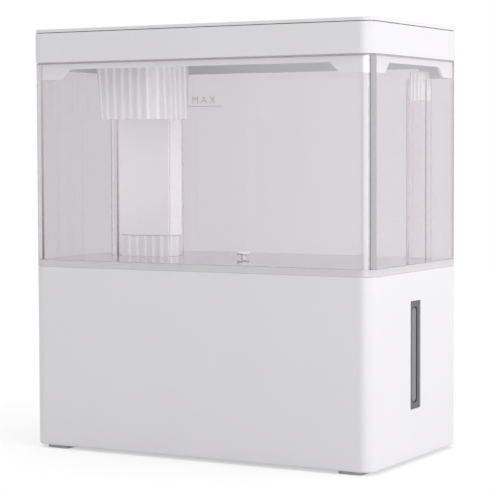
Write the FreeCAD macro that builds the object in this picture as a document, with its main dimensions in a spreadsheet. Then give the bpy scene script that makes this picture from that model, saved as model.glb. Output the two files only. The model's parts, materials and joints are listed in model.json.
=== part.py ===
"""Cool mist humidifier: base with mist maker, lift-off water tank, lid with turning nozzle.

Millimetres. +Z is up, the origin is the centre of the footprint on the table,
the front faces -Y and the indicator window is on the +X side.
"""
import FreeCAD, Part
import math
import os
import re

import Sketcher
from FreeCAD import Vector

SIZES = {
    # Outer casing
    "body_width": 290, "body_depth": 156, "corner_radius": 10,
    "base_height": 138.5, "base_wall": 2.8, "base_edge_radius": 2,
    "ledge_width": 4, "ledge_thickness": 3,
    "foot_height": 2.5, "foot_width": 20, "foot_depth": 18, "foot_radius": 4,
    "foot_inset_x": 19, "foot_inset_y": 12,
    # Bottom cover and its screws
    "cover_thickness": 2.5, "cover_gap": 0.3,
    "grille_slot_width": 3, "grille_slot_length": 52, "grille_slot_pitch": 7, "grille_slots": 7,
    "pillar_radius": 5, "pillar_height": 22, "pillar_inset_x": 14, "pillar_inset_y": 28,
    "screw_radius": 1.5, "screw_head_radius": 2.8, "screw_head_height": 1.4, "screw_length": 10,
    "screw_gap": 0.2,
    # Water basin under the tank
    "deck_thickness": 2.5, "deck_gap": 0.3,
    "basin_inset_left": 13, "basin_inset_right": 79, "basin_inset_y": 20, "basin_drop": 44,
    "basin_wall": 2.2, "basin_radius": 10,
    "trough_inset": 8, "trough_width": 26, "trough_drop": 12,
    "post_radius": 3, "air_port_width": 40, "air_port_height": 14, "air_port_drop": 22,
    # Mist maker
    "disc_radius": 10, "disc_thickness": 1.2, "disc_hole_radius": 9,
    "seal_radius": 13, "seal_thickness": 1.5, "clamp_radius": 17, "clamp_thickness": 5,
    "clamp_screw_radius": 14.7, "clamp_screws": 3,
    "board_thickness": 1.6, "drive_board_width": 70, "drive_board_depth": 46,
    "sink_width": 30, "sink_depth": 24, "sink_height": 12, "sink_fins": 5, "sink_fin_width": 1.5,
    "fog_width": 62, "fog_depth": 44, "fog_radius": 9, "fog_wall": 1.8, "fog_port_width": 26,
    "fog_port_height": 6,
    "spigot_width": 48, "spigot_depth": 23, "spigot_radius": 6.5, "spigot_wall": 1.5,
    "spigot_rise": 16, "rib_proud": 0.5, "rib_width": 2.4, "spigot_rib_pitch": 7.3,
    "spigot_ribs": 6,
    # Blower
    "fan_size": 60, "fan_height": 20, "fan_bore_radius": 28, "fan_gap": 1, "fan_inset_x": 43,
    "hub_radius": 11, "hub_height": 14, "fan_shaft_radius": 2, "shaft_gap": 0.05,
    "fan_blades": 7, "blade_thickness": 1.5, "blade_height": 11, "fan_plate": 2,
    "duct_plate": 1.8,
    # Water float
    "float_radius": 9, "float_height": 12, "float_pin_radius": 3, "float_travel": 10,
    "float_inset_x": 36, "float_inset_y": 42, "float_cap_radius": 5, "float_cap_height": 3,
    # Controls and power
    "cup_radius": 24, "cup_depth": 14, "cup_wall": 2.2, "cup_gap": 0.1, "cup_flange": 3,
    "cup_flange_thickness": 1.5, "knob_radius": 15, "knob_height": 12,
    "knob_lift": 52, "knob_bore_depth": 8, "knob_gap": 1, "pot_size": 17, "pot_height": 9,
    "pot_thread_radius": 3.5, "pot_shaft_radius": 3, "nut_width": 11, "nut_height": 2.5,
    "inlet_width": 24, "inlet_height": 18, "inlet_depth": 16, "inlet_inset_x": 49, "inlet_lift": 30,
    "inlet_flange": 2, "inlet_flange_thickness": 1, "socket_width": 16, "socket_height": 9,
    "socket_depth": 12, "socket_pin_radius": 1.2,
    "power_board_width": 96, "power_board_depth": 60, "power_board_inset_x": 85,
    "board_post_radius": 3.5, "board_post_height": 8, "board_margin": 6,
    # Indicator window
    "window_width": 18, "window_height": 80, "window_y": -1.8, "window_lift": 37,
    "window_radius": 1.2, "window_recess": 0.8, "window_gap": 0.1, "window_flange": 3,
    "window_flange_thickness": 1.5, "light_box_depth": 8, "light_box_wall": 1.2,
    # Tank
    "tank_height": 157.3, "tank_wall": 3, "tank_inner_radius": 2, "tank_skirt_height": 2.5,
    "tank_floor": 3,
    "tube_inset_x": 51, "tube_y": 9, "tube_width": 55, "tube_depth": 30, "tube_radius": 8,
    "tube_wall": 2, "tube_drop": 5.8, "liner_gap": 0.3, "liner_wall": 1, "liner_rise": 16.3,
    "pipe_inset_x": 25.1, "pipe_inset_y": 22, "pipe_width": 16.4, "pipe_depth": 20,
    "pipe_radius": 4, "pipe_wall": 1.8, "pipe_drop": 14.3,
    "strainer_gap": 0.1, "strainer_wall": 1.2, "strainer_depth": 16, "strainer_rise": 6,
    "strainer_rim": 2, "strainer_slot": 1.2, "strainer_pitch": 2.7,
    "strainer_slots_x": 3, "strainer_slots_y": 5,
    # Tank valve
    "valve_x": -6, "valve_y": 9, "valve_flange_radius": 11, "valve_flange": 2,
    "valve_hole_radius": 8, "valve_gap": 0.2, "valve_ports": 4, "valve_port_radius": 0.9,
    "valve_port_circle": 3.4, "stem_radius": 1.8, "stem_gap": 0.05, "valve_travel": 2.5,
    "valve_head_radius": 5.2, "valve_head": 1.2, "valve_seal_thickness": 1,
    "spring_length": 12, "spring_radius": 4.2, "spring_wire": 0.5, "spring_turns": 6,
    "button_radius": 6, "button_height": 2,
    # Lid
    "lid_overhang": 0.5, "lid_rim_height": 22.4, "lid_wall": 3, "lid_deck": 2.5,
    "lid_deck_drop": 2, "seam_gap": 0.5, "plate_thickness": 2.5, "plate_inset": 0.3,
    "plate_flange_wall": 2, "plate_gap": 0.3,
    "skirt_gap": 0.6, "skirt_wall": 2, "skirt_drop": 5.6, "skirt_tab_drop": 13.4,
    "skirt_tab": 23, "skirt_slant": 8,
    "collar_width": 60, "collar_depth": 53.5, "collar_radius": 10, "collar_slant": 9, "collar_wall": 1.6,
    "collar_drop": 43.3, "collar_rib_pitch": 8.4, "collar_rib_width": 3.2,
    "collar_rib_proud": 0.8, "collar_ribs_x": 5, "collar_ribs_y": 4,
    # Nozzle
    "nozzle_radius": 24, "nozzle_gap": 0.3, "nozzle_wall": 2, "nozzle_sink": 0.4,
    "bezel_width": 3, "bezel_gap": 0.1, "outlet_gap": 0.08,
    "outlet_length": 26, "outlet_width": 11,
    "outlet_pipe_radius": 10, "outlet_pipe_wall": 1.5, "outlet_pipe_drop": 12.8,
}

# Heights, from the table up
BASE_BOTTOM = "foot_height"
BASE_TOP = "(foot_height + base_height)"
DECK_BOTTOM = f"({BASE_TOP} - deck_thickness)"
BASIN_BOTTOM = f"({DECK_BOTTOM} - basin_drop)"
BASIN_FLOOR = f"({BASIN_BOTTOM} + basin_wall)"
COVER_TOP = "(foot_height + cover_thickness)"
FLOOR_BOTTOM = f"({BASE_TOP} + tank_skirt_height)"
FLOOR_TOP = f"({FLOOR_BOTTOM} + tank_floor)"
TANK_TOP = f"({BASE_TOP} + tank_height)"
RIM_TOP = f"({TANK_TOP} + lid_rim_height)"
LID_DECK_TOP = f"({RIM_TOP} - lid_deck_drop)"
LID_DECK_BOTTOM = f"({LID_DECK_TOP} - lid_deck)"
PLATE_BOTTOM = f"({RIM_TOP} + seam_gap)"
PLATE_TOP = f"({PLATE_BOTTOM} + plate_thickness)"
TUBE_TOP = f"({TANK_TOP} - tube_drop)"
PIPE_TOP = f"({TANK_TOP} - pipe_drop)"
DISC_BOTTOM = f"({BASIN_BOTTOM} - disc_thickness - seal_thickness)"
CLAMP_BOTTOM = f"({BASIN_BOTTOM} - clamp_thickness)"
DRIVE_BOTTOM = f"({CLAMP_BOTTOM} - board_thickness)"
PORT_TOP = f"({BASE_TOP} - air_port_drop + air_port_height)"
PORT_BOTTOM = f"({BASE_TOP} - air_port_drop)"
VALVE_BOTTOM = f"({FLOOR_BOTTOM} - valve_flange)"
SEAT_TOP = FLOOR_TOP
STEM_BOTTOM = f"({VALVE_BOTTOM} - spring_length - button_height)"
BOARD_TOP = f"({COVER_TOP} + board_post_height + board_thickness)"
KNOB_HEIGHT = f"({BASE_BOTTOM} + knob_lift)"
INLET_HEIGHT = f"({BASE_BOTTOM} + inlet_lift)"
WINDOW_HEIGHT = f"({BASE_BOTTOM} + window_lift + window_height/2)"

# Plan positions
FOOT_SPREAD = ("body_width - 2*foot_inset_x", "body_depth - 2*foot_inset_y")
PILLAR_X = "(body_width/2 - pillar_inset_x)"
PILLAR_SPREAD = (f"2*{PILLAR_X}", "body_depth - 2*pillar_inset_y")
BASIN_LEFT = "(body_width/2 - basin_inset_left)"
BASIN_RIGHT = "(body_width/2 - basin_inset_right)"
BASIN_WIDTH = f"({BASIN_LEFT} + {BASIN_RIGHT})"
BASIN_X = f"(({BASIN_RIGHT} - {BASIN_LEFT})/2)"
BASIN_DEPTH = "(body_depth - 2*basin_inset_y)"
TROUGH_END = "(body_width/2 - trough_inset)"
TROUGH_WIDTH_X = f"({TROUGH_END} - {BASIN_RIGHT})"
TROUGH_X = f"(({TROUGH_END} + {BASIN_RIGHT})/2)"
TUBE_X = "(tube_inset_x - body_width/2)"
PIPE_X = "(body_width/2 - pipe_inset_x)"
PIPE_Y = "(body_depth/2 - pipe_inset_y)"
FAN_X = "(body_width/2 - fan_inset_x)"
FLOAT_X = f"({BASIN_RIGHT} - float_inset_x)"
FLOAT_Y = "(body_depth/2 - float_inset_y)"
INLET_X = "(body_width/2 - inlet_inset_x)"
POWER_BOARD_X = "(power_board_inset_x - body_width/2)"
BASE_INSIDE_X = "(body_width/2 - base_wall)"
CUP_FLOOR_X = "(cup_depth - body_width/2)"
TUBE_INNER_WIDTH = "(tube_width - 2*tube_wall)"
TUBE_INNER_DEPTH = "(tube_depth - 2*tube_wall)"
TUBE_INNER_RADIUS = "(tube_radius - tube_wall)"

document = FreeCAD.newDocument("Humidifier")
sheet = document.addObject("Spreadsheet::Sheet", "Sizes")
for row, (alias, value) in enumerate(SIZES.items(), 1):
    sheet.set(f"A{row}", str(value))
    sheet.setAlias(f"A{row}", alias)
document.recompute()
subparts = []


def sized(expression):
    """Point every size named in the expression at its cell in the sheet."""
    return re.sub(r"[a-z]+(_[a-z]+)+", lambda found: "Sizes." + found.group(), str(expression))


def number(expression):
    """Work out an expression of named sizes."""
    return float(sheet.evalExpression(sized(expression)))


# Outlines: each function returns one that draws itself into a sketch

def hold(sketch, kind, geometry, point, expression):
    """Tie one point's distance from the sketch's origin to an expression."""
    rule = Sketcher.Constraint(kind, -1, 1, geometry, point, number(expression))
    sketch.setExpression(f"Constraints[{sketch.addConstraint(rule)}]", sized(expression))


def hold_radius(sketch, geometry, expression):
    """Tie the radius of a circle or arc to an expression."""
    rule = Sketcher.Constraint("Radius", geometry, number(expression))
    sketch.setExpression(f"Constraints[{sketch.addConstraint(rule)}]", sized(expression))


def circle(radius, x=0, y=0):
    """A circle about x, y."""
    def draw(sketch):
        ring = Part.Circle(Vector(number(x), number(y), 0), Vector(0, 0, 1), number(radius))
        geometry = sketch.addGeometry(ring, False)
        hold(sketch, "DistanceX", geometry, 3, x)
        hold(sketch, "DistanceY", geometry, 3, y)
        hold_radius(sketch, geometry, radius)
    return draw


def polygon(*points):
    """A closed outline of straight lines through the points."""
    def draw(sketch):
        places = [Vector(number(x), number(y), 0) for x, y in points]
        first = sketch.GeometryCount
        for place, following in zip(places, places[1:] + places[:1]):
            sketch.addGeometry(Part.LineSegment(place, following), False)
        for index, (x, y) in enumerate(points):
            after = first + (index + 1) % len(points)
            sketch.addConstraint(Sketcher.Constraint("Coincident", first + index, 2, after, 1))
            hold(sketch, "DistanceX", first + index, 1, x)
            hold(sketch, "DistanceY", first + index, 1, y)
    return draw


def rectangle(width, depth, x=0, y=0):
    """A square-cornered rectangle centred on x, y."""
    left, right = f"{x} - ({width})/2", f"{x} + ({width})/2"
    near, far = f"{y} - ({depth})/2", f"{y} + ({depth})/2"
    return polygon((left, near), (right, near), (right, far), (left, far))


def rounded(width, depth, radius, x=0, y=0):
    """A rectangle with round corners, centred on x, y."""
    def draw(sketch):
        curve = number(radius)
        left, right = number(f"{x} - ({width})/2"), number(f"{x} + ({width})/2")
        near, far = number(f"{y} - ({depth})/2"), number(f"{y} + ({depth})/2")
        sides = [((left + curve, near), (right - curve, near)),
                 ((right, near + curve), (right, far - curve)),
                 ((right - curve, far), (left + curve, far)),
                 ((left, far - curve), (left, near + curve))]
        centres = [(right - curve, near + curve), (right - curve, far - curve),
                   (left + curve, far - curve), (left + curve, near + curve)]
        first = sketch.GeometryCount
        for turn, ((start, end), centre) in enumerate(zip(sides, centres)):
            sketch.addGeometry(Part.LineSegment(Vector(*start, 0), Vector(*end, 0)), False)
            ring = Part.Circle(Vector(*centre, 0), Vector(0, 0, 1), curve)
            quarter = (turn - 1) * math.pi / 2
            sketch.addGeometry(Part.ArcOfCircle(ring, quarter, quarter + math.pi / 2), False)
        for turn in range(4):
            line, arc, following = (first + (2 * turn + step) % 8 for step in range(3))
            sketch.addConstraint(Sketcher.Constraint("Tangent", line, 2, arc, 1))
            sketch.addConstraint(Sketcher.Constraint("Tangent", arc, 2, following, 1))
            level = "Vertical" if turn % 2 else "Horizontal"
            sketch.addConstraint(Sketcher.Constraint(level, line))
            if turn:
                sketch.addConstraint(Sketcher.Constraint("Equal", first + 1, arc))
        hold(sketch, "DistanceY", first, 1, f"{y} - ({depth})/2")
        hold(sketch, "DistanceX", first + 2, 1, f"{x} + ({width})/2")
        hold(sketch, "DistanceY", first + 4, 1, f"{y} + ({depth})/2")
        hold(sketch, "DistanceX", first + 6, 1, f"{x} - ({width})/2")
        hold_radius(sketch, first + 1, radius)
    return draw


# Features

def new_body(name):
    """Start the body of the sub-part called name."""
    body = document.addObject("PartDesign::Body", name)
    body.Label = name
    subparts.append(body)
    return body


def origin_feature(body, role):
    """The body's own plane or axis with that role."""
    return next(item for item in body.Origin.OriginFeatures if item.Role == role)


def extrude(kind, body, plane, low, high, *outlines):
    """Pad or pocket the outlines between two places along X, Y or Z."""
    sketch = body.newObject("Sketcher::SketchObject", "Outline")
    sketch.AttachmentSupport = [(origin_feature(body, plane + "_Plane"), "")]
    sketch.MapMode = "FlatFace"
    start = f"-({high})" if plane == "XZ" else low
    sketch.setExpression("AttachmentOffset.Base.z", sized(start))
    for draw in outlines:
        draw(sketch)
    feature = body.newObject("PartDesign::" + kind, kind)
    feature.Profile = sketch
    feature.Reversed = kind == "Pocket"
    feature.setExpression("Length", sized(f"({high}) - ({low})"))
    return feature


def pad(body, plane, low, high, *outlines):
    """Add material between two places."""
    return extrude("Pad", body, plane, low, high, *outlines)


def pocket(body, plane, low, high, *outlines):
    """Cut material between two places, and make sure that some was there."""
    document.recompute()
    before = body.Shape.Volume
    feature = extrude("Pocket", body, plane, low, high, *outlines)
    document.recompute()
    if body.Shape.Volume >= before:
        raise ValueError(f"{body.Label}: {feature.Name} cuts nothing")
    return feature


def loft(kind, body, *sections):
    """Add or cut a straight-sided solid through outlines at the given heights."""
    sketches = []
    for height, draw in sections:
        sketch = body.newObject("Sketcher::SketchObject", "Section")
        sketch.AttachmentSupport = [(origin_feature(body, "XY_Plane"), "")]
        sketch.MapMode = "FlatFace"
        sketch.setExpression("AttachmentOffset.Base.z", sized(height))
        draw(sketch)
        sketches.append(sketch)
    feature = body.newObject("PartDesign::" + kind, kind)
    feature.Profile = sketches[0]
    feature.Sections = sketches[1:]
    feature.Ruled = True
    return feature


def repeat_round(body, feature, count):
    """Repeat the feature evenly round the body's Z axis."""
    pattern = body.newObject("PartDesign::PolarPattern", "Round")
    pattern.Originals = [feature]
    pattern.Axis = (origin_feature(body, "Z_Axis"), [""])
    pattern.Angle = 360
    pattern.setExpression("Occurrences", sized(count))
    body.Tip = pattern


def repeat_along(body, feature, axis, pitch, count):
    """Repeat the feature in a straight row."""
    pattern = body.newObject("PartDesign::LinearPattern", "Row")
    pattern.Originals = [feature]
    pattern.Direction = (origin_feature(body, axis + "_Axis"), [""])
    pattern.setExpression("Length", sized(f"({pitch})*({count} - 1)"))
    pattern.setExpression("Occurrences", sized(count))
    body.Tip = pattern


def round_edges(body, radius, wanted):
    """Fillet the edges that the wanted test picks."""
    document.recompute()
    base = body.Tip
    names = [f"Edge{index}" for index, edge in enumerate(base.Shape.Edges, 1) if wanted(edge)]
    fillet = body.newObject("PartDesign::Fillet", "Fillet")
    fillet.Base = (base, names)
    fillet.setExpression("Radius", sized(radius))


def place(item, x=0, y=0, z=0):
    """Put a sub-part at a place worked out from the sizes."""
    for axis, expression in zip("xyz", (x, y, z)):
        item.setExpression(f"Placement.Base.{axis}", sized(expression))


def primitive(kind, name, x, y, z, **sizes):
    """A Part primitive with its sizes and place tied to the sheet."""
    item = document.addObject("Part::" + kind, name)
    for size, expression in sizes.items():
        item.setExpression(size, sized(expression))
    place(item, x, y, z)
    return item


def group(name, kind, items):
    """Join primitives into one sub-part: MultiFuse, Cut or Compound."""
    item = document.addObject("Part::" + kind, name)
    if kind == "MultiFuse":
        item.Shapes = items
    elif kind == "Compound":
        item.Links = items
    else:
        item.Base, item.Tool = items
    item.Label = name
    subparts.append(item)
    return item


def corners(spread_x, spread_y):
    """The four corners of a rectangle, as pairs of expressions."""
    return [(f"{side_x}*({spread_x})/2", f"{side_y}*({spread_y})/2")
            for side_x in (-1, 1) for side_y in (-1, 1)]


# Base

def base_shell():
    """Outer casing of the base, with a ledge, screw pillars and cut-outs."""
    body = new_body("base_shell")
    wall = rounded("body_width", "body_depth", "corner_radius")
    inner = rounded("body_width - 2*base_wall", "body_depth - 2*base_wall",
                    "corner_radius - base_wall")
    pad(body, "XY", BASE_BOTTOM, BASE_TOP, wall, inner)
    ledge = rounded("body_width - 2*base_wall - 2*ledge_width",
                    "body_depth - 2*base_wall - 2*ledge_width",
                    "corner_radius - base_wall - ledge_width")
    pad(body, "XY", f"{DECK_BOTTOM} - ledge_thickness", DECK_BOTTOM, wall, ledge)
    bottom = number(BASE_BOTTOM)
    half_width, half_depth = number("body_width/2"), number("body_depth/2")

    def outer_foot_edge(edge):
        """Edges of the outer wall's lower rim."""
        middle = edge.valueAt((edge.FirstParameter + edge.LastParameter) / 2)
        inset = number("base_wall/2")
        outside = max(abs(middle.x) - half_width, abs(middle.y) - half_depth) > -inset
        corner = edge.BoundBox.DiagonalLength > inset and edge.Curve.TypeId.endswith("Circle")
        large = corner and edge.Curve.Radius > number("corner_radius - base_wall/2")
        return edge.BoundBox.ZMax < bottom + 1e-6 and (outside or large)

    round_edges(body, "base_edge_radius", outer_foot_edge)
    for x, y in corners(*PILLAR_SPREAD):
        side = "1" if not x.startswith("-") else "-1"
        width = f"({BASE_INSIDE_X} - {PILLAR_X} + base_wall/2)"
        pad(body, "XY", COVER_TOP, f"{COVER_TOP} + pillar_height",
            rectangle(width, "2*pillar_radius", f"{side}*({PILLAR_X} + {width}/2)", y))
        pad(body, "XY", COVER_TOP, f"{COVER_TOP} + pillar_height", circle("pillar_radius", x, y))
        pocket(body, "XY", COVER_TOP, f"{COVER_TOP} + screw_length", circle("screw_radius", x, y))
    pocket(body, "YZ", "-body_width/2", "base_wall - body_width/2",
           circle("cup_radius + cup_wall + cup_gap", 0, KNOB_HEIGHT))
    pocket(body, "YZ", BASE_INSIDE_X, "body_width/2",
           rounded("window_width", "window_height", "window_radius", "window_y", WINDOW_HEIGHT))
    pocket(body, "XZ", "body_depth/2 - base_wall", "body_depth/2",
           rounded("inlet_width", "inlet_height", "window_radius", INLET_X, INLET_HEIGHT))


def bottom_cover():
    """Plate that closes the base from below, with the air intake and board posts."""
    body = new_body("bottom_cover")
    inset = "(2*base_wall + 2*cover_gap)"
    pad(body, "XY", BASE_BOTTOM, COVER_TOP,
        rounded(f"body_width - {inset}", f"body_depth - {inset}",
                "corner_radius - base_wall - cover_gap"))
    for x, y in corners("power_board_width - 2*board_margin", "power_board_depth - 2*board_margin"):
        pad(body, "XY", COVER_TOP, f"{COVER_TOP} + board_post_height",
            circle("board_post_radius", f"{POWER_BOARD_X} + {x}", y))
        pocket(body, "XY", COVER_TOP, f"{COVER_TOP} + board_post_height",
               circle("screw_radius", f"{POWER_BOARD_X} + {x}", y))
    for x, y in corners(*PILLAR_SPREAD):
        pocket(body, "XY", BASE_BOTTOM, COVER_TOP, circle("screw_radius + screw_gap", x, y))
        pocket(body, "XY", BASE_BOTTOM, f"{BASE_BOTTOM} + screw_head_height",
               circle("screw_head_radius + screw_gap", x, y))
    slot = pocket(body, "XY", BASE_BOTTOM, COVER_TOP,
                  rectangle("grille_slot_width", "grille_slot_length",
                            f"{FAN_X} - grille_slot_pitch*(grille_slots - 1)/2"))
    repeat_along(body, slot, "X", "grille_slot_pitch", "grille_slots")


def screw_group(name, places, head_z, head_height, shank_length, up=1):
    """Identical screws, with their heads' free faces at head_z."""
    screws = []
    for index, (x, y) in enumerate(places):
        head_low = head_z if up > 0 else f"{head_z} - {head_height}"
        shank_low = f"{head_z} + {head_height}" if up > 0 else f"{head_low} - ({shank_length})"
        head = primitive("Cylinder", f"{name}_head_{index}", x, y, head_low,
                         Radius="screw_head_radius", Height=head_height)
        shank = primitive("Cylinder", f"{name}_shank_{index}", x, y, shank_low,
                          Radius="screw_radius", Height=shank_length)
        screw = document.addObject("Part::MultiFuse", f"{name}_{index}")
        screw.Shapes = [head, shank]
        screws.append(screw)
    group(name, "Compound", screws)


def feet():
    """Four rubber pads under the corners of the base."""
    names = ("foot_left_front", "foot_left_back", "foot_right_front", "foot_right_back")
    for name, (x, y) in zip(names, corners(*FOOT_SPREAD)):
        body = new_body(name)
        pad(body, "XY", 0, "foot_height", rounded("foot_width", "foot_depth", "foot_radius"))
        place(body, x, y)


def water_basin():
    """Deck that carries the tank, with the basin, drain trough, valve post and float pin."""
    body = new_body("water_basin")
    inset = "(2*base_wall + 2*deck_gap)"
    pad(body, "XY", DECK_BOTTOM, BASE_TOP,
        rounded(f"body_width - {inset}", f"body_depth - {inset}",
                "corner_radius - base_wall - deck_gap"))
    pad(body, "XY", BASIN_BOTTOM, DECK_BOTTOM,
        rounded(BASIN_WIDTH, BASIN_DEPTH, "basin_radius", BASIN_X))
    pad(body, "XY", f"{DECK_BOTTOM} - trough_drop", DECK_BOTTOM,
        rectangle(TROUGH_WIDTH_X, "trough_width", TROUGH_X, PIPE_Y))
    pocket(body, "XY", BASIN_FLOOR, BASE_TOP,
           rounded(f"{BASIN_WIDTH} - 2*basin_wall", f"{BASIN_DEPTH} - 2*basin_wall",
                   "basin_radius - basin_wall", BASIN_X))
    pocket(body, "XY", f"{DECK_BOTTOM} - trough_drop + basin_wall", BASE_TOP,
           rectangle(TROUGH_WIDTH_X, "trough_width - 2*basin_wall",
                     f"{TROUGH_X} - basin_wall", PIPE_Y))
    pad(body, "XY", BASIN_FLOOR, STEM_BOTTOM, circle("post_radius", "valve_x", "valve_y"))
    pad(body, "XY", BASIN_FLOOR, f"{BASIN_FLOOR} + float_height + float_travel + float_cap_height",
        circle("float_pin_radius", FLOAT_X, FLOAT_Y))
    pocket(body, "XY", BASIN_BOTTOM, BASIN_FLOOR, circle("disc_hole_radius", TUBE_X, "tube_y"))
    pocket(body, "YZ", f"{BASIN_RIGHT} - basin_wall", BASIN_RIGHT,
           rectangle("air_port_width", "air_port_height", 0, f"({PORT_TOP} + {PORT_BOTTOM})/2"))


def mist_maker():
    """Ultrasonic disc with its seal, clamp ring, screws, drive board and heat sink."""
    seal = new_body("transducer_seal")
    pad(seal, "XY", f"{BASIN_BOTTOM} - seal_thickness", BASIN_BOTTOM,
        circle("seal_radius"), circle("disc_hole_radius"))
    place(seal, TUBE_X, "tube_y")
    disc = new_body("transducer_disc")
    pad(disc, "XY", DISC_BOTTOM, f"{DISC_BOTTOM} + disc_thickness", circle("disc_radius"))
    place(disc, TUBE_X, "tube_y")
    clamp = new_body("transducer_clamp")
    pad(clamp, "XY", CLAMP_BOTTOM, BASIN_BOTTOM, circle("clamp_radius"),
        circle("seal_radius + screw_gap"))
    pad(clamp, "XY", CLAMP_BOTTOM, DISC_BOTTOM, circle("clamp_radius"),
        circle("disc_radius - seal_thickness"))
    hole = pocket(clamp, "XY", CLAMP_BOTTOM, BASIN_BOTTOM,
                  circle("screw_radius/2", "clamp_screw_radius"))
    repeat_round(clamp, hole, "clamp_screws")
    place(clamp, TUBE_X, "tube_y")
    board = new_body("drive_board")
    pad(board, "XY", DRIVE_BOTTOM, CLAMP_BOTTOM,
        rounded("drive_board_width", "drive_board_depth", "screw_radius"))
    pad(board, "XY", CLAMP_BOTTOM, f"{CLAMP_BOTTOM} + board_thickness",
        rectangle("sink_fin_width*4", "drive_board_depth/2", "-drive_board_width/3"))
    place(board, TUBE_X, "tube_y")
    sink = new_body("heat_sink")
    pad(sink, "XY", f"{DRIVE_BOTTOM} - board_thickness", DRIVE_BOTTOM,
        rectangle("sink_width", "sink_depth"))
    fin = pad(sink, "XY", f"{DRIVE_BOTTOM} - sink_height", f"{DRIVE_BOTTOM} - board_thickness",
              rectangle("sink_fin_width", "sink_depth", "(sink_fin_width - sink_width)/2"))
    repeat_along(sink, fin, "X", "(sink_width - sink_fin_width)/(sink_fins - 1)", "sink_fins")
    place(sink, TUBE_X, "tube_y")


def fog_chamber():
    """Chamber over the disc: water enters low, air enters high, mist leaves by the spigot."""
    cover = new_body("fog_cover")
    outline = rounded("fog_width", "fog_depth", "fog_radius")
    inner = rounded("fog_width - 2*fog_wall", "fog_depth - 2*fog_wall", "fog_radius - fog_wall")
    pad(cover, "XY", BASIN_FLOOR, BASE_TOP, outline, inner)
    spigot_hole = rounded("spigot_width - 2*spigot_wall", "spigot_depth - 2*spigot_wall",
                          "spigot_radius - spigot_wall")
    pad(cover, "XY", f"{BASE_TOP} - fog_wall", BASE_TOP, outline, spigot_hole)
    pocket(cover, "YZ", "fog_width/2 - fog_wall", "fog_width/2",
           rectangle("fog_port_width", "fog_port_height", 0, f"{BASIN_FLOOR} + fog_port_height/2"))
    pocket(cover, "YZ", "fog_width/2 - fog_wall", "fog_width/2",
           rectangle("fog_port_width", "air_port_height", 0, f"({PORT_TOP} + {PORT_BOTTOM})/2"))
    place(cover, TUBE_X, "tube_y")
    spigot = new_body("mist_spigot")
    top = f"{FLOOR_TOP} + spigot_rise"
    pad(spigot, "XY", BASE_TOP, top,
        rounded("spigot_width", "spigot_depth", "spigot_radius"), spigot_hole)
    pad(spigot, "XY", BASE_TOP, f"{BASE_TOP} + spigot_wall",
        rounded("spigot_width + 2*rib_proud", "spigot_depth + 2*rib_proud",
                "spigot_radius + rib_proud"), spigot_hole)
    for side in (-1, 1):
        rib = pad(spigot, "XY", BASE_TOP, top,
                  rectangle("rib_width", "rib_proud + spigot_wall/2",
                            "-spigot_rib_pitch*(spigot_ribs - 1)/2",
                            f"{side}*(spigot_depth/2 + rib_proud/2 - spigot_wall/4)"))
        repeat_along(spigot, rib, "X", "spigot_rib_pitch", "spigot_ribs")
    place(spigot, TUBE_X, "tube_y")


def fan():
    """Axial fan over the intake grille: square frame and bladed rotor."""
    low, high = COVER_TOP, f"({COVER_TOP} + fan_height)"
    frame = new_body("fan_frame")
    pad(frame, "XY", low, high, rounded("fan_size", "fan_size", "screw_radius*2"),
        circle("fan_bore_radius"))
    for width, depth in (("2*fan_bore_radius + fan_plate", "2*fan_plate"),
                         ("2*fan_plate", "2*fan_bore_radius + fan_plate")):
        pad(frame, "XY", low, f"{low} + fan_plate", rectangle(width, depth))
    pad(frame, "XY", low, f"{low} + fan_plate", circle("hub_radius - fan_gap"))
    pad(frame, "XY", f"{low} + fan_plate", f"{low} + hub_height/2", circle("fan_shaft_radius"))
    place(frame, FAN_X)
    rotor = new_body("fan_rotor")
    hub_low = f"({low} + fan_plate + fan_gap)"
    pad(rotor, "XY", hub_low, f"{hub_low} + hub_height", circle("hub_radius"))
    blade = pad(rotor, "XY", f"{hub_low} + fan_gap", f"{hub_low} + fan_gap + blade_height",
                rectangle("fan_bore_radius - fan_gap - hub_radius/2", "blade_thickness",
                          "(fan_bore_radius - fan_gap + hub_radius/2)/2"))
    repeat_round(rotor, blade, "fan_blades")
    pocket(rotor, "XY", hub_low, f"{low} + hub_height/2 + fan_gap",
           circle("fan_shaft_radius + shaft_gap"))
    place(rotor, FAN_X)


def air_duct():
    """Elbow from the fan up to the port in the basin wall."""
    body = new_body("air_duct")
    low = f"({COVER_TOP} + fan_height)"
    top = f"({PORT_TOP} + duct_plate)"
    outer_width = f"({FAN_X} + fan_size/2 - {BASIN_RIGHT})"
    middle = f"({FAN_X} + fan_size/2 + {BASIN_RIGHT})/2"
    outline = rectangle(outer_width, "fan_size", middle)
    inner = rectangle(f"{outer_width} - 2*duct_plate", "fan_size - 2*duct_plate", middle)
    pad(body, "XY", low, f"{PORT_TOP}", outline, inner)
    pad(body, "XY", PORT_TOP, top, outline)
    pocket(body, "YZ", BASIN_RIGHT, f"{BASIN_RIGHT} + duct_plate",
           rectangle("air_port_width", "air_port_height", 0, f"({PORT_TOP} + {PORT_BOTTOM})/2"))


def water_float():
    """Floating ring on its pin, kept on by a cap, that tells when the basin is empty."""
    body = new_body("water_float")
    pad(body, "XY", BASIN_FLOOR, f"{BASIN_FLOOR} + float_height",
        circle("float_radius"), circle("float_pin_radius + shaft_gap"))
    place(body, FLOAT_X, FLOAT_Y)
    cap = new_body("float_cap")
    low = f"({BASIN_FLOOR} + float_height + float_travel)"
    pad(cap, "XY", low, f"{low} + float_cap_height",
        circle("float_cap_radius"), circle("float_pin_radius"))
    place(cap, FLOAT_X, FLOAT_Y)


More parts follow.
